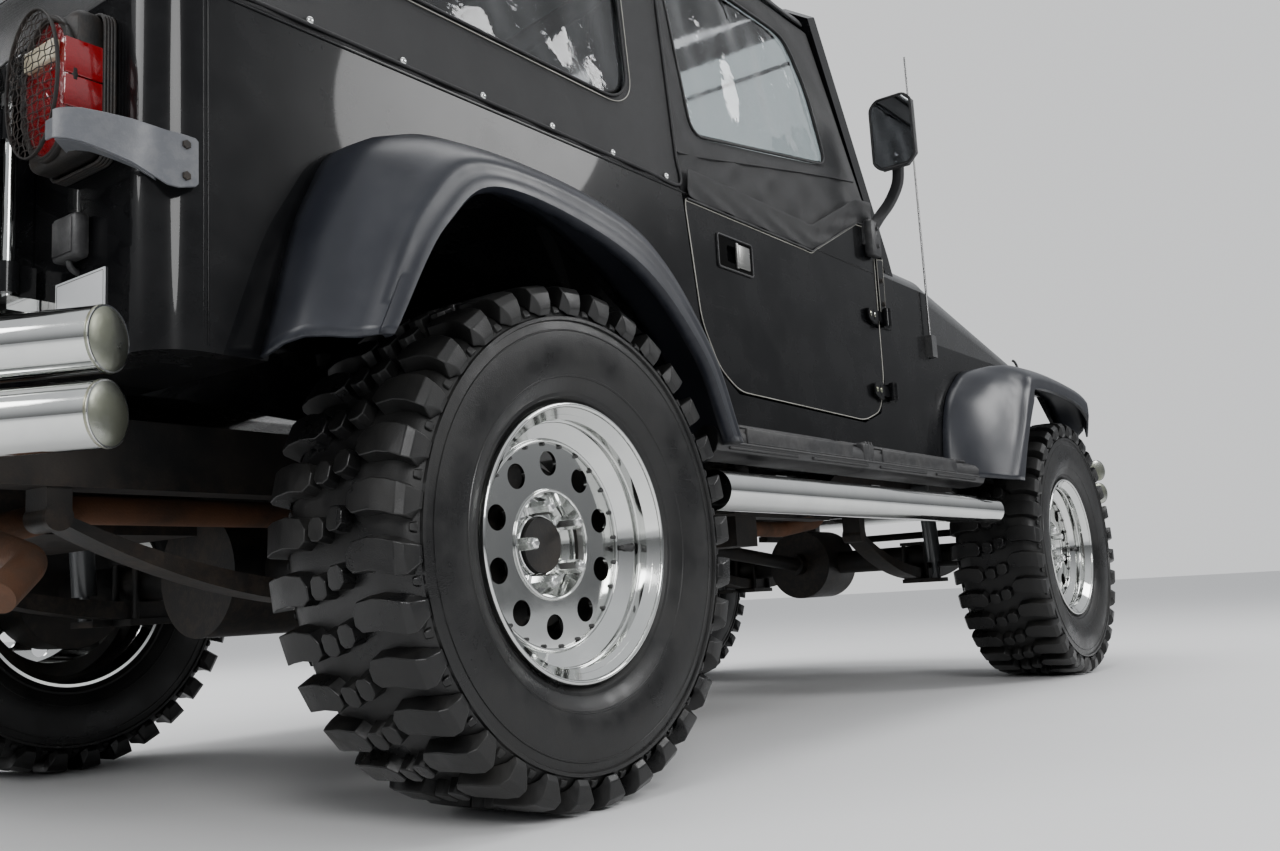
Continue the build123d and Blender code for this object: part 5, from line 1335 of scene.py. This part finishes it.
# Strips: x, y, low and high
STRAP_STATIONS = [
    (-1.6085, -0.7205, 0.815, 0.869), (-1.612, -0.7205, 0.811, 0.872), (-1.633, -0.7205, 0.805, 0.8725),
    (-1.648, -0.72, 0.805, 0.8715), (-1.662, -0.717, 0.812, 0.8735), (-1.682, -0.705, 0.827, 0.88),
    (-1.703, -0.683, 0.842, 0.888), (-1.72, -0.664, 0.853, 0.894), (-1.73, -0.65, 0.858, 0.896),
    (-1.736, -0.64, 0.86, 0.896), (-1.737, -0.634, 0.861, 0.896),
]
TAB_STATIONS = [(-1.737, -0.6345, 0.8615, 0.886), (-1.737, -0.628, 0.862, 0.8865),
                (-1.737, -0.618, 0.8625, 0.8865)]
for name, side in SIDES:
    housing = joined([
        pillow_block((-1.706, -0.62, 0.86), (-1.666, -0.5, 1.046), 0.014, 5),
        pillow_block((-1.674, -0.612, 0.868), (-1.6565, -0.508, 1.036), 0.008, 4),
        carried(oval(0.955, -1.7075), bar_profile(0.008, 0.0085, 0.002), (1, 0, 0), closed=True),
    ])
    replaced = ["tail_lamps"] if side < 0 else []
    mesh_piece(f"{name}_lamp_housing", to_side(housing, side), CHASSIS_PAINT, 40,
               replaces=replaced)
    mesh_piece(f"{name}_tail_lens", to_side(lens_shape(), side), RED_LENS, 50)
    strip = pillow_block((-1.7218, -0.596, 0.98), (-1.712, -0.524, 1.006), 0.003, 4)
    mesh_piece(f"{name}_reverse_strip", to_side(strip, side), CREAM_LENS, 50)
    mesh_piece(f"{name}_lamp_guard", to_side(guard_shape(), side), CHASSIS_PAINT, 50)
    lenses = joined([pillow_block((-1.72, -0.623, low), (-1.669, -0.618, high), 0.0016, 3)
                     for low, high in ((0.912, 0.952), (0.9535, 0.999))])
    mesh_piece(f"{name}_side_lens", to_side(lenses, side), RED_LENS, 40)
    mesh_piece(f"{name}_lamp_gasket", to_side(gasket_shape(), side), CHASSIS_PAINT, 60)
    ledge_out = np.array([(x, y, low + 0.0015) for x, y, low, _ in STRAP_STATIONS[4:]])
    ledge_in = ledge_out + np.array([0.03, 0.03, 0.0]) * np.linspace(0.2, 1, len(ledge_out))[:, None]
    under = [0, 0, 0.003]
    ledge = grid(np.stack([ledge_out, ledge_in, ledge_in - under, ledge_out - under], 1),
                 close_columns=True)
    replaced = ["lamp_brackets"] if side < 0 else []
    mesh_piece(f"{name}_lamp_strap",
               to_side(joined([ribbon(STRAP_STATIONS, 0.0032), ribbon(TAB_STATIONS, 0.003), ledge]), side),
               BRACKET_GREY, 32, replaces=replaced)
    heads = joined([set_at(bolt(0.0058, 0.0062), (-1.625, -0.7206, z), (0, -1, 0)) for z in (0.821, 0.86)])
    slot = plate(ring_profile(1, 16) * [0.0022, 0.0052] + [-0.6255, 0.8745], -0.0004, 0.0004,
                 on_cross(-1.7372, 1))
    mesh_piece(f"{name}_strap_bolts", to_side(joined([heads, slot]), side), CHASSIS_PAINT, 30)


# A junction box on the rear panel

junction = joined([pillow_block((-1.678, -0.57, 0.748), (-1.657, -0.513, 0.805), 0.006, 4),
                   pillow_block((-1.68, -0.564, 0.754), (-1.677, -0.519, 0.799), 0.002, 3),
                   wire([(-1.668, -0.541, 0.75), (-1.668, -0.541, 0.744), (-1.664, -0.54, 0.739),
                         (-1.655, -0.538, 0.736)], 0.0045)])
mesh_piece("junction_box", junction, TRIM_PLASTIC, 40)


# Bumper caps: shallow domes seated in the tubes' ends, with a thin bead

dome = turned([(0, 0.0048), (0.01, 0.0045), (0.02, 0.0036), (0.028, 0.0022), (0.033, 0.0006),
               (0.0352, -0.0006), (0.0363, -0.0016), (0.0366, -0.0034), (0.0361, -0.0046),
               (0, -0.0046)], 48)
for place, end_x, heights, way in (("rear", -1.7528, (0.594, 0.515), 0.454),
                                   ("front", 1.8468, (0.652, 0.573), -0.454)):
    for name, side in SIDES:
        caps = [set_at(dome, (end_x, side * 0.785, z), (way, side * 0.891, 0)) for z in heights]
        mesh_piece(f"{place}_{name}_bumper_caps", joined(caps), DULL_CHROME, 50)


# Mirrors: glass, rim, arm and clamp

MIRROR_Y = 0.822
MIRROR_Z = 1.402
MIRROR_POST_X = REAR_AXLE_X + 1.303
MIRROR_OUTLINE = [(-0.05, -0.068), (-0.0335, -0.0855), (0.0335, -0.0855), (0.05, -0.068),
                  (0.05, 0.068), (0.0335, 0.0855), (-0.0335, 0.0855), (-0.05, 0.068)]
CLAMP_X = 0.276
CLAMP_FACE_Y = 0.743
collar = turned([(0, 0.014), (0.01, 0.014), (0.0125, 0.011), (0.013, -0.011), (0.01, -0.014), (0, -0.014)],
                24)
for name, side in SIDES:
    body = f"{name}_door_body"
    glass = plate(MIRROR_OUTLINE, 0.0, 0.0016, on_cross(0.2405, -1, side * MIRROR_Y, MIRROR_Z))
    mesh_piece(f"{name}_mirror_glass", glass, MIRROR_FACE, 30, body=body)
    rim = (rounded_outline([(1.1 * y, 1.06 * z) for y, z in MIRROR_OUTLINE], 0.01, 3)
           + [side * MIRROR_Y, MIRROR_Z])
    rim = carried(at_x(rim, 0.2415), bar_profile(0.005, 0.006, 0.0014), (1, 0, 0), closed=True)
    mesh_piece(f"{name}_mirror_rim", rim, TRIM_PLASTIC, 40, body=body)
    arm_line = smooth_path([(0.277, side * 0.73, 1.18), (0.295, side * 0.746, 1.214),
                            (0.297, side * 0.776, 1.246), (0.284, side * 0.806, 1.284),
                            (0.264, side * 0.821, 1.326)], 8)
    mesh_piece(f"{name}_mirror_arm", carried(arm_line, bar_profile(0.028, 0.019, 0.006), (1, 0, 0)),
               TRIM_PLASTIC, 40, body=body)
    clamps = joined([set_at(bolt(0.005, 0.005), (CLAMP_X, side * CLAMP_FACE_Y, z), (0, side, 0))
                     for z in (1.135, 1.18)]
                    + [side_block(side, (0.25, 0.716, 1.11), (0.304, CLAMP_FACE_Y, 1.204), 0.009, 4),
                       shifted(collar, (MIRROR_POST_X, side * MIRROR_Y, 1.33))])
    mesh_piece(f"{name}_mirror_clamp", clamps, TRIM_PLASTIC, 40, body=body)


# Door hardware: hinge plates, screws and caps, the handle, the windscreen's hinge plate

HANDLE_OUTER = rectangle(-0.436, -0.304, 0.949, 1.0175)
HANDLE_INNER = rectangle(-0.4, -0.341, 0.9655, 1.0005)


def flat_ring(outer, inner, near, far):
    """A flat plate on the right side with a hole, from near to far."""
    flat = ring_panel(rounded_outline(outer, 0.006, 3), rounded_outline(inner, 0.006, 3), 3)
    near_side, far_side = (np.insert(flat, 1, -y, -1) for y in (near, far))
    return grid(np.concatenate([far_side, near_side[::-1]]), close_rows=True, close_columns=True)


HINGE_PLATE = [(-0.004, 0.0235), (-0.004, -0.0235), (-0.03, -0.02), (-0.056, -0.0125), (-0.056, 0.0125),
               (-0.03, 0.02)]
HINGE_X = 0.279
HINGE_HEIGHTS = (0.77, 0.96)
HINGE_PIN = (0.317, 0.733)
hinge_screw = turned([(0, 0.0018), (0.0035, 0.0018), (0.006, 0.0006), (0.006, -0.001), (0, -0.001)], 20)
hinge_cap = turned([(0, 0.0035), (0.006, 0.0028), (0.01, 0.0008), (0.0104, -0.002), (0, -0.002)], 24)
for name, side in SIDES:
    body = f"{name}_door_body"
    leaves = [rounded_outline([(HINGE_X + 0.9 * x, z + rise) for x, rise in HINGE_PLATE], 0.006, 3)
              for z in HINGE_HEIGHTS]
    mesh_piece(f"{name}_hinge_plates",
               joined([plate(leaf, 0.7212, 0.7262, on_side(side)) for leaf in leaves]), BODY_PAINT, 30,
               body=body)
    screws = [set_at(hinge_screw, (HINGE_X + dx, side * 0.7268, z), (0, side, 0)) for z in HINGE_HEIGHTS
              for dx in (-0.04, -0.018)]
    mesh_piece(f"{name}_hinge_screws", joined(screws), DULL_CHROME, 40, body=body)
    caps = [shifted(hinge_cap, (HINGE_PIN[0], side * HINGE_PIN[1], z + 0.0222)) for z in HINGE_HEIGHTS]
    mesh_piece(f"{name}_hinge_caps", joined(caps), BODY_PAINT, 40)
    floor = flat_ring(HANDLE_OUTER, HANDLE_INNER, 0.7146, 0.716)
    mesh_piece(f"{name}_handle_floor", to_side(floor, side), HANDLE_BLACK, 40, body=body)
    rim = carried(np.array([(x, -0.7168, z) for x, z in rounded_outline(HANDLE_OUTER, 0.006, 3)]),
                  bar_profile(0.004, 0.005, 0.0012), (0, 1, 0), closed=True)
    mesh_piece(f"{name}_handle_frame", to_side(rim, side), TRIM_PLASTIC, 40, body=body)
    paddle = joined([pillow_block((-0.368, -0.7196, 0.959), (-0.315, -0.715, 1.009), 0.004, 4),
                     pillow_block((-0.369, -0.7212, 0.956), (-0.36, -0.715, 1.011), 0.003, 4)])
    mesh_piece(f"{name}_door_pull", to_side(paddle, side), HANDLE_CHROME, 40, body=body)
    arm = rounded_outline([(0.312, 1.112), (0.347, 1.118), (0.341, 0.985), (0.33, 0.945), (0.312, 0.968)],
                          0.008, 3)
    mesh_piece(f"{name}_screen_hinge", plate(arm, 0.7153, 0.7203, on_side(side)), BODY_PAINT, 30)
    # Pale cord round the windscreen hinge plate: painted highlight on its edges
    edge = np.array([(x, side * 0.72, z) for x, z in arm])
    mesh_piece(f"{name}_screen_hinge_painted_highlight", seam(edge, 0.0008, True), PALE_HIGHLIGHT_AND_THREAD, 60)
    heads = joined([set_at(bolt(0.0055, 0.005), (x, side * 0.7205, z), (0, side, 0))
                    for x, z in ((0.328, 1.06), (0.331, 1.0), (0.326, 0.968))])
    mesh_piece(f"{name}_screen_bolts", heads, CHASSIS_PAINT, 30)


# Seats and roll bar padding


def cushion(low, high, seams=()):
    """A stuffed pad: a superellipsoid with a power of 0.32, sunk 7 mm along its seams and slightly wrinkled.

    The seams are places across it, from -1 to 1.
    """
    low, high = np.asarray(low, float), np.asarray(high, float)
    size, middle = (high - low) / 2, (low + high) / 2

    def squared(value):
        return np.sign(value) * np.abs(value) ** 0.32

    rise, around = (np.linspace(-np.pi / 2, np.pi / 2, 44)[:, None],
                    np.linspace(0, 2 * np.pi, 120, endpoint=False))
    level, z = squared(np.cos(rise)), squared(np.sin(rise))
    x, y = level * squared(np.cos(around)), level * squared(np.sin(around))
    full = 1 + 0.05 * np.cos(x * 1.2) * np.cos(y * 1.2) * (np.abs(z) > 0.6)
    sink = sum((np.exp(-(((y - place) * size[1]) / 0.006) ** 2) for place in seams), np.zeros_like(y))
    wrinkle = 0.0012 * np.sin(55 * (x * size[0]) + 21 * y) * np.sin(33 * y * size[1] + 9 * x)
    height = z * size[2] * full - np.sign(z) * sink * 0.007 + wrinkle
    points = np.stack([x * size[0] * (1 + 0.02 * np.sin(3 * z)), y * size[1], height], -1)
    return grid(middle + points, close_columns=True)


def leaned(shape, foot, angle):
    """A shape leaned back about a line across the body through foot (x, z)."""
    points = shape[0].copy()
    x, z = points[:, 0] - foot[0], points[:, 2] - foot[1]
    c, s = math.cos(angle), math.sin(angle)
    points[:, 0], points[:, 2] = foot[0] + x * c - z * s, foot[1] + x * s + z * c
    return points, shape[1]


def upright(shape, foot):
    """A pad made flat, stood up so that its upper face looks ahead."""
    points = shape[0].copy()
    x, z = points[:, 0] - foot[0], points[:, 2] - foot[1]
    points[:, 0], points[:, 2] = foot[0] + z, foot[1] + x
    return points, shape[1][:, ::-1]


def seat_pads(low_y, high_y, x_rear, x_front, top, back_top, seams, lean):
    """Squab and leaning back of a seat."""
    squab = cushion((x_rear + 0.02, low_y, top - 0.135), (x_front, high_y, top), seams)
    back = upright(cushion((0, low_y + 0.008, 0), (back_top - top + 0.02, high_y - 0.008, 0.105), seams),
                   (0, 0))
    back = shifted(back, (x_rear + 0.035, 0, top - 0.03))
    return squab, leaned(back, (x_rear + 0.06, top), lean)


SEAT_MIDDLE_Y = 0.3775
SEAT_LEAN = ((-0.355, 0.915), math.radians(10))
for name, side in SIDES:
    low_y, high_y = sorted((side * 0.15, side * 0.605))
    squab, back = seat_pads(low_y, high_y, -0.415, 0.006, 0.915, 1.235, (-0.5, 0.5), math.radians(10))
    middle_y = side * SEAT_MIDDLE_Y
    rest = upright(cushion((0, middle_y - 0.125, 0), (0.15, middle_y + 0.125, 0.08)), (0, 0))
    rest = leaned(shifted(rest, (-0.385, 0, 1.268)), *SEAT_LEAN)
    replaced = ["seats"] if side < 0 else []
    piece = mesh_piece(f"{name}_seat_pads", joined([squab, back, rest]), SEAT_FABRIC, 60, replaces=replaced)
    posts = [leaned(wire([(-0.345, middle_y + dy, 1.2), (-0.345, middle_y + dy, 1.3)], 0.006), *SEAT_LEAN)
             for dy in (-0.06, 0.06)]
    frame_parts = [pillow_block((-0.4, low_y + 0.03, 0.672), (-0.03, high_y - 0.03, 0.79), 0.012, 4),
                   pillow_block((-0.41, low_y + 0.05, FLOOR_Z), (-0.06, low_y + 0.085, 0.675), 0.004),
                   pillow_block((-0.41, high_y - 0.085, FLOOR_Z), (-0.06, high_y - 0.05, 0.675), 0.004)]
    mesh_piece(f"{name}_seat_frame", joined(frame_parts + posts), TRIM_PLASTIC, 40)
squab, back = seat_pads(-0.395, 0.395, -1.345, -0.96, 0.895, 1.225, (-0.66, -0.33, 0.0, 0.33, 0.66),
                        math.radians(8))
mesh_piece("bench_pads", joined([squab, back]), SEAT_FABRIC, 60)
mesh_piece("bench_frame", joined([pillow_block((-1.33, -0.36, 0.68), (-0.99, 0.36, 0.775), 0.012, 4),
                                  pillow_block((-1.3, -0.34, FLOOR_Z), (-1.02, -0.3, 0.69), 0.004),
                                  pillow_block((-1.3, 0.3, FLOOR_Z), (-1.02, 0.34, 0.69), 0.004)]),
           TRIM_PLASTIC, 40)


def bar_sleeve(path, hint=UP):
    """Padding round a straight run of the roll bar, thinner at its two last places on each end."""
    return carried(path, ring_profile(0.036, 28), hint,
                   scale=np.array([0.8, 0.93] + [1.0] * (len(path) - 4) + [0.93, 0.8]))


for name, side in SIDES:
    sleeve = bar_sleeve([(ROLL_BAR_X, side * 0.56, z) for z in np.linspace(1.1, 1.52, 22)], (1, 0, 0))
    mesh_piece(f"{name}_bar_padding", sleeve, TOP_FABRIC, 50)
across = bar_sleeve([(ROLL_BAR_X, y, 1.69) for y in np.linspace(-0.42, 0.42, 24)])
mesh_piece("bar_padding_top", across, TOP_FABRIC, 50)


# Body seams and the pads on the side steps

CORNER_SEAM_X = REAR_AXLE_X - 0.549
for name, side in SIDES:
    corner = np.linspace(0.622, 1.074, 20)
    seams = joined([
        seam([(CORNER_SEAM_X, side * BODY_HALF, z) for z in corner], 0.0013),
        seam([(CORNER_SEAM_X - 0.006, side * 0.7146, z) for z in corner], 0.001),
        seam(dense([(x, side * BODY_HALF, 1.0745) for x in (-1.6, 0.3)], 30), 0.002),
    ])
    mesh_piece(f"{name}_body_seams", seams, BODY_PAINT, 60)
    pads = []
    for low, high in ((-0.52, -0.02), (0.07, 0.57)):
        pads.append(pillow_block((low, 0.727, 0.606), (high, 0.756, 0.6165), 0.004, 4))
        pads.append(pillow_block((low + 0.02, 0.788, 0.574), (high - 0.04, 0.795, 0.604), 0.003, 4))
        pads += [pillow_block((x, 0.73, 0.615), (x + 0.0045, 0.753, 0.6182), 0.0015, 3)
                 for x in np.arange(low + 0.012, high - 0.012, 0.011)]
        pads.append(pillow_block((low, 0.764, 0.604), (high, 0.778, 0.6115), 0.004, 4))
    pads.append(pillow_block((-0.004, 0.719, 0.57), (0.052, 0.7935, 0.615), 0.008, 4))
    pads += [pillow_block((x, 0.7185, 0.569), (x + 0.006, 0.7945, 0.6165), 0.003, 3)
             for x in (0.004, 0.018, 0.032)]
    pads.append(seam([(x, 0.7932, 0.572) for x in np.linspace(-0.58, 0.71, 30)], 0.0022))
    pads = joined(pads)
    mesh_piece(f"{name}_step_pads", pads if side > 0 else mirrored(pads, 1), TRIM_PLASTIC, 35)


# Front lamps and grille

LAMP_FRONT_X = 1.817
TURN_FRONT_X = 1.8362
FRONT_LAMP_Y = 0.428
HEAD_Z = 0.905
TURN_Z = 0.79
SLOT_STEP = 0.062
SLOT_HALF = 0.0172
MESH_STEP = 0.0125


def lamp_ring(outline, x, width, thick):
    """A raised rim along an outline (y, z) on the front."""
    return carried(at_x(outline, x), bar_profile(thick, width, min(thick, width) * 0.3), (1, 0, 0),
                   closed=True)


def fluted(outline, x, pitch, depth, dome):
    """A lens over an outline: a dome whose face carries upright flutes, a sine of the place across."""
    flat = disc_panel(outline, 24)
    y, z = flat[..., 0], flat[..., 1]
    share = np.linspace(0, 1, len(flat))[::-1, None]
    rise = dome * np.sqrt(np.maximum(0.0, 1 - share ** 4))
    return grid(np.stack([x + rise + depth * np.sin(2 * np.pi * y / pitch) * (share < 0.98), y, z], -1),
                close_columns=True)


lamp_screw = turned([(0, 0.002), (0.003, 0.0018), (0.0042, 0.0006), (0.0042, -0.001), (0, -0.001)], 16)
for name, side in SIDES:
    y = side * FRONT_LAMP_Y
    head = rounded_outline(rectangle(y - 0.083, y + 0.083, HEAD_Z - 0.054, HEAD_Z + 0.054), 0.016, 5)
    turn_lamp = rounded_outline(rectangle(y - 0.058, y + 0.058, TURN_Z - 0.023, TURN_Z + 0.023), 0.01, 4)
    mesh_piece(f"{name}_head_rim", lamp_ring(head, LAMP_FRONT_X, 0.009, 0.0075), CHROME, 40)
    mesh_piece(f"{name}_head_lens", fluted(head, LAMP_FRONT_X - 0.0015, 0.0105, 0.0005, 0.0055),
               LAMP_GLASS, 60)
    screws = [set_at(lamp_screw, (LAMP_FRONT_X - 0.0015, y + dy, HEAD_Z + dz), (1, 0, 0))
              for dy in (-0.092, 0.092) for dz in (-0.045, 0.045)]
    mesh_piece(f"{name}_head_screws", joined(screws), CHROME, 40)
    mesh_piece(f"{name}_turn_lens", fluted(turn_lamp, TURN_FRONT_X, 0.008, 0.0005, 0.0045), AMBER_LENS, 60)
    mesh_piece(f"{name}_turn_rim", lamp_ring(turn_lamp, TURN_FRONT_X, 0.006, 0.005), TRIM_PLASTIC, 40)
slots = [rectangle(y - SLOT_HALF, y + SLOT_HALF, 0.705, 1.005) for y in (np.arange(6) - 2.5) * SLOT_STEP]
rims = [lamp_ring(rounded_outline(slot, 0.0165, 5), 1.8145, 0.0042, 0.0036) for slot in slots]
mesh_piece("grille_slot_rims", joined(rims), BODY_PAINT, 40)
thread = ring_profile(0.0009, 4)
threads = [carried([(1.772, y, z) for z in (0.7, 0.86, 1.01)], thread, (1, 0, 0))
           for y in np.arange(-0.185, 0.186, MESH_STEP)]
threads += [carried([(1.7735, y, z) for y in (-0.19, 0.0, 0.19)], thread, (1, 0, 0))
            for z in np.arange(0.705, 1.008, MESH_STEP)]
mesh_piece("grille_mesh", joined(threads), CHASSIS_PAINT, 60)


# Bonnet catches: a base on the fender and a bent handle

base = pillow_block((1.52, -0.014, -0.022), (1.56, 0.014, 0.022), 0.004, 4)
for name, side in SIDES:
    handle = wire([(1.54, side * y, z)
                   for y, z in ((0.012, 0.018), (0.016, 0.034), (0.01, 0.052), (0.002, 0.06))], 0.0042)
    catch = shifted(joined([base, handle]), (0, side * 0.628, 0.968))
    mesh_piece(f"{name}_bonnet_catch", catch, TRIM_PLASTIC, 40)


# Wipers and the windscreen's rubber

RAKE = math.radians(24)
SCREEN_OUT = np.array([math.cos(RAKE), 0.0, math.sin(RAKE)])
SCREEN_UP = np.array([-math.sin(RAKE), 0.0, math.cos(RAKE)])
SCREEN_FOOT = np.array([0.431, 0.0, 1.143])


def on_screen(points, lift=0.0):
    """Places (across, up along the glass) on the windscreen's front face, lifted off it."""
    points = np.asarray(points, float)
    return SCREEN_FOOT + points[:, :1] * [0, 1, 0] + points[:, 1:2] * SCREEN_UP + lift * SCREEN_OUT


hub = turned([(0, 0.02), (0.006, 0.019), (0.01, 0.012), (0.011, -0.004), (0, -0.004)], 20)
for name, y in (("left", 0.1), ("right", -0.52)):
    pivot = (y, 0.012)
    arm = wire(on_screen([pivot, (y + 0.06, 0.03), (y + 0.18, 0.052)], 0.016), 0.0035)
    blade = wire(on_screen([(y - 0.02, 0.04), (y + 0.18, 0.056), (y + 0.36, 0.075)], 0.008), 0.0042)
    shape = joined([arm, blade, set_at(hub, on_screen([pivot])[0], SCREEN_OUT)])
    mesh_piece(f"{name}_wiper", shape, TRIM_PLASTIC, 40)
rubber = on_screen(rounded_outline([(-0.64, 0.07), (0.64, 0.07), (0.622, 0.555), (-0.622, 0.555)],
                                   0.05, 6), -0.004)
mesh_piece("screen_rubber", carried(rubber, ring_profile(0.0055, 10), SCREEN_OUT, closed=True),
           TRIM_PLASTIC, 60)


# A blank plate with its line, and the tailgate's catch

blank = plate(rectangle(-0.604, -0.488, 0.65, 0.73), 0.0004, 0.0018, on_cross(-1.6562, -1))
mesh_piece("blank_plate", blank, PALE_PLATE, 30)
border = at_x(rounded_outline(rectangle(-0.601, -0.491, 0.653, 0.727), 0.002, 2), -1.658)
mesh_piece("blank_plate_line", carried(border, bar_profile(0.0009, 0.0006, 0.0002), (1, 0, 0),
                                       closed=True), TRIM_PLASTIC, 40)
catch = joined([pillow_block((-1.668, 0.426, 0.88), (-1.656, 0.47, 0.945), 0.005, 4),
                wire([(-1.672, 0.432, 0.9), (-1.68, 0.44, 0.912), (-1.672, 0.452, 0.926)], 0.005)])
mesh_piece("tailgate_catch", catch, TRIM_PLASTIC, 40)
